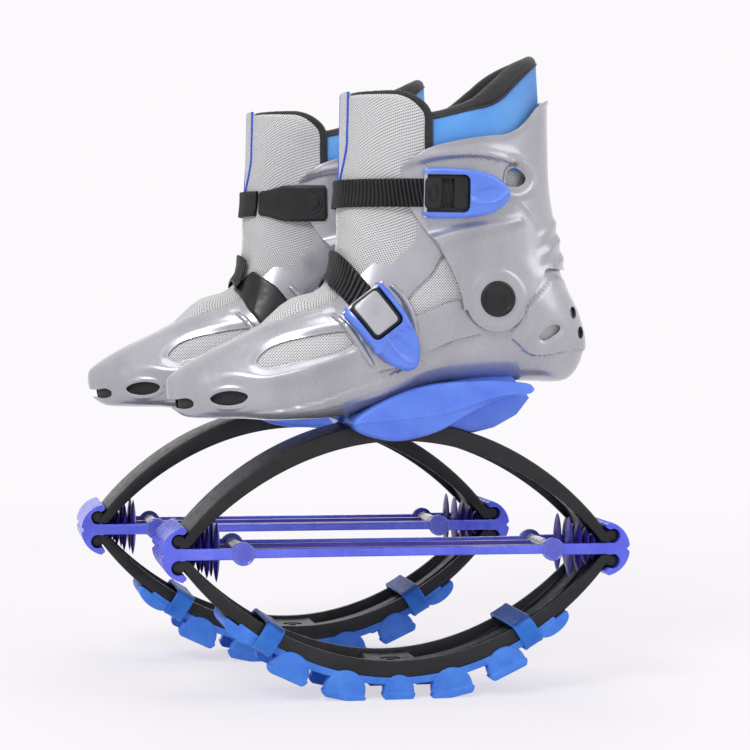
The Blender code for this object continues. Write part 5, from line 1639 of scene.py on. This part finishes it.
def makeArch(upward):
    s = springLook
    arch = skin("Arch", archGrid())
    for end in (-1, 1):
        x, half, r = end * s["knobX"], s["halfWidth"], s["knob"]
        profile = [(r * 0.7, -half), (r * 0.92, -half + 0.0005), (r, -half + 0.0014), (r, half - 0.0014),
                   (r * 0.92, half - 0.0005), (r * 0.7, half)]
        knob = turned("Knob", profile, (x, 0, middle + s["knobOffset"]), sides=32)
        arch = carve(arch, knob, how="UNION")
    arch = carve(arch, slab("Foot", wideSquare, 0, middle + 0.0048, "XY"))
    crown = middle + s["rise"]
    bore = turned("Bore", ((0.0033, -0.03), (0.0033, 0.01)), (0, 0, crown), (0, 0, 1), 28)
    dish = turned("Dish", ((0.0078, -0.03), (0.0078, -s["deckDepth"] + 0.0007)), (0, 0, crown), (0, 0, 1), 36)
    arch = carve(arch, bore, dish)
    if not upward:
        turn = Matrix.Translation((0, 0, 2 * middle)) @ Matrix.Diagonal((1, 1, -1, 1))
        arch.data.transform(turn)
        arch.data.flip_normals()
    return arch


def flattening():
    def join(obj, side, body):
        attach(obj, side + body if body != "ground" else body)
        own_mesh(obj)
    return join


def lowFlatten(obj, side):
    flattening()(obj, side, "ground")


def highFlatten(obj, side):
    flattening()(obj, side, "_spring_ends")


wear(makeArch(True), "upper_leaf_arch", "black_nylon", "upper_arch", 30, highFlatten)
wear(makeArch(False), "lower_leaf_arch", "black_nylon", "lower_arch", 30, lowFlatten)
print("arches made")


# End hubs, side bars, bump stops and cross rods

hubLook = {
    "x": 0.1565,
    "radius": 0.0207,
    "lean": 0.0075,
    "halfWidth": 0.0335,
    "notch": 0.0026,
    "groove": 0.0008,
    "grooves": 6,
    "barThick": 0.0045,
    "endHalf": 0.0042,
    "barHalf": 0.0031,
    "eyeX": 0.117,
    "eye": 0.0085,
    "rod": 0.0055,
    "bandY": 0.015,
    "bandHalf": 0.003,
    "bandTall": 0.0021,
    "finPlaces": (0.0295, 0.0225, 0.0165, 0.0115),
    "finHeights": (0.0224, 0.0194, 0.0145, 0.0100),
    "finHalf": 0.0095,
    "finThick": 0.0026,
}


def hubOutline(end):
    # a C in section: a lobe over each arch's knob and the land that the bars meet
    h, s = hubLook, springLook
    outer = arcPoints(0, 0, h["radius"], 6, 80, 60)
    lobe = arcPoints(h["lean"] / 2, h["radius"] * 0.83, h["radius"] * 0.10, 75, 215, 12)
    hollow = arcPoints(h["lean"], s["knobOffset"], s["knob"] + 0.0006, 122, -112, 22)
    land = np.array([(h["lean"] / 4, h["endHalf"])])
    upper = np.vstack([outer, lobe, hollow, land])
    notch = np.array([(h["radius"] - h["notch"], 0)])
    whole = np.vstack([notch, upper, (upper * (1, -1))[::-1]])
    return eased(np.stack([end * (h["x"] + whole[:, 0]), middle + whole[:, 1]], -1), 0.0004, 5)


def makeHub(end):
    # its outside is ribbed by grooves that run round the C
    h = hubLook
    outline = hubOutline(end)
    half, deep = h["halfWidth"], h["groove"]
    steps = [(-half, 0.0006), (-half + 0.0002, 0.0002), (-half + 0.0006, 0.0)]
    for y in (np.arange(1, h["grooves"]) / h["grooves"] * 2 - 1) * half:
        steps += [(y - 0.0011, 0.0), (y - 0.0006, deep * 0.7), (y, deep), (y + 0.0006, deep * 0.7),
                  (y + 0.0011, 0.0)]
    steps += [(half - 0.0006, 0.0), (half - 0.0002, 0.0002), (half, 0.0006)]
    return skin("Hub", [spread(shrunk(outline, inset), y) for y, inset in steps])


def barOutline():
    h = hubLook
    tip = h["x"] + h["lean"] / 4 + 0.0030
    eye = h["eyeX"]
    deep = math.degrees(math.asin(h["endHalf"] / h["eye"]))
    thin = math.degrees(math.asin(h["barHalf"] / h["eye"]))
    x = np.linspace(eye - 0.012, -eye + 0.012, 33)
    waist = h["barHalf"] + (h["endHalf"] - h["barHalf"]) * 0.25 * (x / eye) ** 6
    upper = np.vstack([
        [(tip, h["endHalf"])], arcPoints(eye, 0, h["eye"], deep, 180 - thin, 16),
        np.stack([x, waist], -1), arcPoints(-eye, 0, h["eye"], thin, 180 - deep, 16), [(-tip, h["endHalf"])]])
    whole = np.vstack([upper, (upper * (1, -1))[::-1]])
    return eased(whole, 0.0007, 2) + (0, middle)


def makeBar(side):
    h = hubLook
    low, high = sorted((side * (h["halfWidth"] - h["barThick"]), side * (h["halfWidth"] - 0.0001)))
    bar = plate("Bar", barOutline(), low, high, 0.0015, steps=5)
    for end in (-1, 1):
        face = side * h["halfWidth"]
        r = h["eye"]
        rim = ((r * 1.005, -0.0042), (r * 1.005, -0.0006), (r * 0.97, 0.0001), (r * 0.90, 0.0004),
               (r * 0.84, 0.0001), (r * 0.80, -0.0002), (r * 0.30, -0.0001), (0.0002, 0.0))
        disc = turned("Disc", [(a, b * side) for a, b in rim], (end * h["eyeX"], face, middle), sides=48)
        bar = merged(bar, disc)
    return bar


def makeRod(end):
    h = hubLook
    reach, r = h["halfWidth"] - h["barThick"] - seatGap, h["rod"]
    profile = ((r * 0.7, -reach), (r * 0.95, -reach + 0.0003), (r, -reach + 0.0010), (r, -0.019),
               (r * 0.93, -0.0186), (r * 0.93, -0.011), (r, -0.0106), (r, 0.0106), (r * 0.93, 0.011),
               (r * 0.93, 0.0186), (r, 0.019), (r, reach - 0.0010), (r * 0.95, reach - 0.0003),
               (r * 0.7, reach))
    return turned("Rod", profile, (end * h["eyeX"], 0, middle), sides=40)


def makeFin(x, y, tall):
    # a blade of lens section that tapers to a point above and below the band
    h = hubLook
    rings = []
    for share in np.sin(np.linspace(-math.pi / 2, math.pi / 2, 17)) * 0.995:
        swell = max(1 - abs(share) ** 2.2, 0.02)
        wide, thick = h["finHalf"] * swell**0.5, h["finThick"] * swell**0.8
        turn = np.arange(20) / 20 * 2 * math.pi
        lens = squared(np.cos(turn), 1.25)
        rings.append(np.stack([x + thick * np.sin(turn) * np.abs(np.sin(turn)) ** 0.3, y + wide * lens,
                               np.full(20, middle + share * tall)], -1))
    return skin("Fin", rings)


def makeFinBand(side):
    h = hubLook
    y, half, tall = side * h["bandY"], h["bandHalf"], h["bandTall"]
    reach = h["x"] + h["lean"] / 4 - seatGap
    turn = onceRound(20)
    section = np.stack([squared(np.cos(turn), 0.45) * half,
                        squared(np.sin(turn), 0.45) * tall], -1)
    rings = []
    for x in np.linspace(-reach, reach, 61):
        grown = 1 + 0.18 * np.exp(-(((abs(x) - h["eyeX"]) / 0.004) ** 2))
        rings.append(np.stack([np.full(20, x), y + section[:, 0], middle + section[:, 1] * grown], -1))
    band = skin("Band", rings)
    fins = [makeFin(end * (springLook["knobX"] - place), y, tall)
            for end in (-1, 1) for place, tall in zip(h["finPlaces"], h["finHeights"])]
    return merged(band, *fins)


for end, name in ((-1, "front"), (1, "rear")):
    wear(makeHub(end), name + "_spring_hub", "violet_plastic", name + "_hub", 40, flat=True)
    wear(makeRod(end), name + "_rod", "steel", name + "_cross_rod", 40)
for side, name in ((-1, "outer"), (1, "inner")):
    wear(makeBar(side), "tension_bar_" + name, "violet_plastic", "side_bar_" + name, 40, flat=True)
    wear(makeFinBand(side), "bump_stops_" + name, "indigo_rubber", "fin_band_" + name, 50)
print("hubs and bars made")


# Tread and its clips

treadLook = {
    "band": 0.0025,
    "depth": 0.0135,
    "cheek": 0.0030,
    "rise": 0.0046,
    "reach": 0.120,
    "channel": 0.0235,
    "lugLength": 0.032,
    # place along the arch, length share, depth share
    "lugs": ((0.0, 0.74, 1.04), (0.0385, 1.0, 1.31), (0.0785, 0.97, 1.19), (0.1170, 0.90, 0.68)),
    "shoe": 0.0056,
    "clipX": 0.1003,
    "clipLength": 0.0155,
    "clipWall": 0.0028,
    "clipSlack": 0.0012,
}


def lowFrame(x):
    # a point of the lower arch's outer face, the way out of the spring and the way along
    point, inward = archFrame(x)
    outward = np.array((-inward[0], 0, inward[2]))
    along = np.array((-outward[2], 0, outward[0]))
    return np.array((x, 0, 2 * middle - point[2])), outward, along


def lugShape(x, length, foot, kind):
    # a lug from the side: a domed cheek over a flat shoe that reaches a little further
    point, outward, along = lowFrame(x)
    half, rise = length / 2, treadLook["rise"]
    level = foot - treadLook["shoe"]
    turn = np.radians(np.linspace(0, 180, 41))
    if kind == "end":
        shape = [(math.cos(a) * half, math.sin(a) ** 0.75 * foot) for a in turn]
    elif kind == "dome":
        shape = [(math.cos(a) * half * 0.97, level - math.sin(a) ** 0.85 * (rise + level)) for a in turn]
        shape += [(-half * 0.9, foot * 0.8), (half * 0.9, foot * 0.8)]
    else:
        shape = [(half, level - 0.0002), (0, level - 0.0008), (-half, level - 0.0002),
                 (-half * 1.05, level + 0.0010), (-half * 1.03, level + 0.0022), (-half * 0.88, foot),
                 (half * 0.88, foot), (half * 1.03, level + 0.0022), (half * 1.05, level + 0.0010)]
    return eased([(point + along * a + outward * d)[[0, 2]] for a, d in shape], 0.0006, 5)


def makeTread():
    t = treadLook
    half = springLook["halfWidth"] + t["cheek"]
    line = [lowFrame(x) for x in np.linspace(-t["reach"], t["reach"], 97)]
    low = [p + o * (t["band"] + seatGap) for p, o, a in line]
    high = [p - o * t["band"] for p, o, a in line]
    outline = eased([(p[0], p[2]) for p in low + high[::-1]], 0.001, 2)
    tread = plate("Tread", outline, -half + 0.0014, half - 0.0014, 0.0007)
    for place, long, deep in t["lugs"]:
        for x in sorted({-place, place}):
            size = (t["lugLength"] * long, t["depth"] * deep)
            kind = "end" if place > t["clipX"] else "dome"
            dome = plate("Cheek", lugShape(x, *size, kind), -half + 0.0004, half - 0.0004, 0.0016, steps=5)
            tread = carve(tread, dome, how="UNION")
            if kind == "dome":
                shoe = plate("Shoe", lugShape(x, *size, "shoe"), -half, half, 0.0010, steps=4)
                tread = carve(tread, shoe, how="UNION")
    under = [p + o * (t["band"] + 0.0030) for p, o, a in line]
    under = [(p[0], p[2]) for p in under] + [(0.14, 0.06), (0.14, -0.02), (-0.14, -0.02), (-0.14, 0.06)]
    tread = carve(tread, slab("Ground", wideSquare, -0.05, 0.0, "XY"))
    tread = carve(tread, slab("Channel", np.array(under), -t["channel"], t["channel"]))
    return carve(tread, archRoom(lambda z: 2 * middle - z, middle + 0.02))


def makeClip(end):
    t = treadLook
    x = end * t["clipX"]
    point, outward, along = lowFrame(x)
    wide = springLook["halfWidth"] + t["cheek"] + seatGap
    low = -(t["band"] + seatGap + t["clipSlack"])
    high = float(archDepth(x)) + t["clipSlack"]
    centre = (low + high) / 2
    wallHalf = t["clipWall"] / 2
    reach, tall, corner = wide + wallHalf, (high - low) / 2 + wallHalf, 0.0060
    path = []
    for cx, cz, start in ((1, 1, 0), (-1, 1, 90), (-1, -1, 180), (1, -1, 270)):
        path.append(arcPoints(cx * (reach - corner), cz * (tall - corner), corner, start, start + 90, 9))
    path = np.vstack(path)
    out = -inward(path)
    turn = onceRound(24)
    long = squared(np.cos(turn), 0.35) * t["clipLength"] / 2
    thick = squared(np.sin(turn), 0.5) * wallHalf
    thick = thick + 0.0004 * (np.abs(long) > t["clipLength"] * 0.36) * (thick > 0)
    rings = []
    for (a, b), (na, nb) in zip(path, out):
        across, deep = a + na * thick, centre + b + nb * thick
        rings.append(point + along * long[:, None] - outward * deep[:, None]
                     + np.array((0, 1, 0)) * across[:, None])
    return skin("Clip", rings, closed=True)


wear(makeTread(), "rubber_tread", "tread_rubber", "tread", 32, lowFlatten)
for end, name in ((-1, "front"), (1, "rear")):
    wear(makeClip(end), name + "_clip", "clip_plastic", name + "_tread_clip", 40, lowFlatten)
print("treads made")


# Sole plate with its two leaves, and the bolt under the arch

soleLook = {
    "frontX": -0.040,
    "length": 0.136,
    "top": 0.2365,
    "drop": 0.0445,
    "half": 0.049,
    "root": 0.012,
    "edge": 0.0035,
    "blockHalf": 0.027,
    # upper edge, then lower edge, from the tip at the front to the tip at the back, as shares
    "outerTop": ((0.0, 0.72), (0.03, 0.60), (0.11, 0.44), (0.25, 0.24), (0.38, 0.11), (0.52, 0.04),
                 (0.66, 0.01), (0.80, 0.0), (0.93, 0.03), (0.975, 0.05), (0.993, 0.08), (1.0, 0.13)),
    "outerFoot": ((0.0, 0.72), (0.03, 0.84), (0.11, 0.94), (0.25, 1.0), (0.41, 0.91), (0.52, 0.78),
                  (0.61, 0.62), (0.69, 0.49), (0.80, 0.33), (0.93, 0.245), (0.975, 0.225), (0.993, 0.19),
                  (1.0, 0.13)),
    "innerTop": ((0.0, 0.72), (0.03, 0.60), (0.11, 0.44), (0.25, 0.24), (0.38, 0.11), (0.52, 0.04),
                 (0.66, 0.01), (0.78, 0.0), (0.90, 0.06), (1.0, 0.20), (1.055, 0.36)),
    "innerFoot": ((0.0, 0.72), (0.03, 0.84), (0.11, 0.94), (0.25, 1.0), (0.50, 0.99), (0.70, 0.96),
                  (0.83, 0.90), (0.94, 0.77), (1.02, 0.56), (1.055, 0.36)),
    "block": ((-0.050, 0.0288), (-0.050, -0.0134), (0.050, -0.0134), (0.072, -0.0048), (0.090, 0.0048),
              (0.100, 0.0154), (0.100, 0.0432)),
}


def makeLeaf(top, foot, side, vein):
    # a lens of two lofted faces, thickest along its vein and rounded at its rims
    s = soleLook
    top, foot = flow(top), flow(foot)
    last = top[-1, 0]
    shares = last * (1 - np.cos(np.linspace(0.02, math.pi - 0.02, 71))) / 2
    upper = np.interp(shares, top[:, 0], top[:, 1])
    lower = np.interp(shares, foot[:, 0], foot[:, 1])
    rings = []
    for a, high, low in zip(shares, upper, lower):
        ridge = 0.60 - 0.50 * (a / last) if vein else 0.5
        ridge = low + (high - low) * ridge
        turn = np.linspace(0, math.pi, 61)
        across = np.cos(turn)
        z = np.where(across > 0, ridge + (high - ridge) * across, ridge + (low - ridge) * -across)
        size = abs(high - low) * s["drop"]
        edge = min(s["edge"], size * 0.45)
        gone = (1 - np.abs(across)) * size / 2
        fall = np.where(gone < edge, edge - np.sqrt(np.maximum(edge**2 - (edge - gone) ** 2, 0)), 0)
        crest = 0.0009 * np.exp(-((across * size / 0.0026) ** 2)) if vein else 0
        y = s["half"] - 0.0008 - fall + crest - 0.0009 * np.abs(across)
        back = np.full(2, s["root"])
        line = np.concatenate([y, back])
        zs = np.concatenate([z, [z[-1], z[0]]])
        rings.append(np.stack([np.full(63, s["frontX"] + a * s["length"]), side * line,
                               s["top"] - zs * s["drop"]], -1))
    return skin("Leaf", rings)


def makeSole():
    s = soleLook
    crown = middle + springLook["rise"]
    outline = np.array(s["block"]) + (0, crown)
    sole = plate("Block", outline, -s["blockHalf"], s["blockHalf"], 0.0015)
    sole = carve(sole, makeLeaf(s["outerTop"], s["outerFoot"], -1, True), how="UNION")
    sole = carve(sole, makeLeaf(s["innerTop"], s["innerFoot"], 1, True), how="UNION")
    sole = carve(sole, archRoom(lambda z: z + seatGap, middle))
    return carve(sole, skin("Boot", formGrid(0, 14, seatGap, around=96)))


def makeBolt():
    seat = middle + springLook["rise"] - springLook["deckDepth"] + 0.0005
    head = []
    for radius, height in ((0.0040, -0.0045), (0.0061, -0.0045), (0.0065, -0.0041), (0.0065, -0.0004),
                           (0.0062, 0.0)):
        turn = np.arange(6) * math.pi / 3
        head.append(np.stack([radius * np.cos(turn), radius * np.sin(turn), np.full(6, seat + height)], -1))
    washer = turned("Washer", ((0.0072, -0.0008), (0.0075, -0.0005), (0.0075, 0.0002), (0.003, 0.0002)),
                    (0, 0, seat), (0, 0, 1))
    socket = turned("Socket", ((0.0022, -0.006), (0.0022, -0.002)), (0, 0, seat), (0, 0, 1), 6)
    return merged(carve(skin("Bolt", head), socket), washer)


wear(makeSole(), "leaf_plate", "blue_plastic", "sole_plate", 30)
wear(makeBolt(), "bolt_head", "steel", "arch_bolt", 30)
print("soles made")


# Studio

studio = {
    "background": srgb(252, 249, 252),
    "worldOnObject": 0.46,
    "shadowShare": 0.35,
    "plainFrom": 0.7,
    "plainAt": 1.6,
    "lamps": (
        # name, place, size, watts
        ("Key", (-1.4, -1.8, 2.2), 1.0, 34),
        ("Fill", (2.0, -1.2, 1.4), 1.6, 10),
        ("Back", (0.4, 1.9, 2.0), 1.5, 16),
        ("Top", (0.0, 0.0, 2.6), 1.6, 14),
    ),
}


def cameraLook():
    # all three kinds of ray that see the plain background
    def build(tree):
        path = tree.nodes.new("ShaderNodeLightPath")
        first = tree.nodes.new("ShaderNodeMath")
        second = tree.nodes.new("ShaderNodeMath")
        first.operation = second.operation = "MAXIMUM"
        tree.links.new(path.outputs["Is Camera Ray"], first.inputs[0])
        tree.links.new(path.outputs["Is Glossy Ray"], first.inputs[1])
        tree.links.new(first.outputs[0], second.inputs[0])
        tree.links.new(path.outputs["Is Transmission Ray"], second.inputs[1])
        return second.outputs[0]
    return build


def makeWorld():
    world = bpy.data.worlds.new("Pale studio")
    bpy.context.scene.world = world
    world.use_nodes = True
    tree = world.node_tree
    ground = tree.nodes["Background"]
    ground.inputs["Color"].default_value = studio["background"]
    seen = cameraLook()(tree)
    strength = tree.nodes.new("ShaderNodeMapRange")
    strength.inputs["To Min"].default_value = studio["worldOnObject"]
    strength.inputs["To Max"].default_value = 1.0
    tree.links.new(seen, strength.inputs["Value"])
    tree.links.new(strength.outputs["Result"], ground.inputs["Strength"])


def makeFloor():
    mesh = bpy.data.meshes.new("Floor")
    reach = 30
    mesh.from_pydata([(-reach, -reach, 0), (reach, -reach, 0), (reach, reach, 0), (-reach, reach, 0)],
                     [], [(0, 1, 2, 3)])
    floor = bpy.data.objects.new("Floor", mesh)
    bpy.context.scene.collection.objects.link(floor)
    material = bpy.data.materials.new("Pale floor")
    material.use_nodes = True
    tree = material.node_tree
    shader = tree.nodes["Principled BSDF"]
    shader.inputs["Base Color"].default_value = srgb(244, 242, 245)
    shader.inputs["Roughness"].default_value = 0.9
    shader.inputs["Specular IOR Level"].default_value = 0.0
    glow = tree.nodes.new("ShaderNodeEmission")
    glow.inputs["Color"].default_value = studio["background"]
    place = tree.nodes.new("ShaderNodeTexCoord")
    far = tree.nodes.new("ShaderNodeVectorMath")
    far.operation = "LENGTH"
    tree.links.new(place.outputs["Object"], far.inputs[0])
    share = tree.nodes.new("ShaderNodeMapRange")
    share.interpolation_type = "SMOOTHSTEP"
    share.inputs["From Min"].default_value = studio["plainFrom"]
    share.inputs["From Max"].default_value = studio["plainAt"]
    share.inputs["To Min"].default_value = 1 - studio["shadowShare"]
    tree.links.new(far.outputs["Value"], share.inputs["Value"])
    both = tree.nodes.new("ShaderNodeMath")
    both.operation = "MULTIPLY"
    tree.links.new(share.outputs["Result"], both.inputs[0])
    tree.links.new(cameraLook()(tree), both.inputs[1])
    mix = tree.nodes.new("ShaderNodeMixShader")
    tree.links.new(both.outputs[0], mix.inputs["Fac"])
    tree.links.new(shader.outputs[0], mix.inputs[1])
    tree.links.new(glow.outputs[0], mix.inputs[2])
    tree.links.new(mix.outputs[0], tree.nodes["Material Output"].inputs["Surface"])
    mesh.materials.append(material)


def makeLamps():
    aim = Vector((0, 0, 0.22))
    for name, place, size, watts in studio["lamps"]:
        data = bpy.data.lights.new(name, "AREA")
        data.shape, data.size, data.energy = "DISK", size, watts
        lamp = bpy.data.objects.new(name, data)
        lamp.location = place
        lamp.rotation_mode = "QUATERNION"
        lamp.rotation_quaternion = (aim - Vector(place)).to_track_quat("-Z", "Y")
        bpy.context.scene.collection.objects.link(lamp)


view = {
    "place": (-0.30255, -1.5685, 0.2877),
    "lens": 96.97,
    "yaw": 11.87,
    "pitch": 1.85,
    "roll": 0.56,
}


def makeCamera():
    yaw, pitch, roll = (math.radians(view[key]) for key in ("yaw", "pitch", "roll"))
    ahead = Vector((math.sin(yaw) * math.cos(pitch), math.cos(yaw) * math.cos(pitch), -math.sin(pitch)))
    right = Vector((math.cos(yaw), -math.sin(yaw), 0))
    up = right.cross(ahead)
    across = right * math.cos(roll) + up * math.sin(roll)
    above = up * math.cos(roll) - right * math.sin(roll)
    data = bpy.data.cameras.new("Camera")
    data.lens, data.sensor_width = view["lens"], 36
    data.clip_start, data.clip_end = 0.05, 100
    camera = bpy.data.objects.new("Camera", data)
    bpy.context.scene.collection.objects.link(camera)
    turn = Matrix((across, above, -ahead)).transposed().to_4x4()
    camera.matrix_world = Matrix.Translation(view["place"]) @ turn
    bpy.context.scene.camera = camera


makeWorld()
makeFloor()
makeLamps()
makeCamera()
bpy.context.scene.view_settings.view_transform = "Standard"
print("studio set")
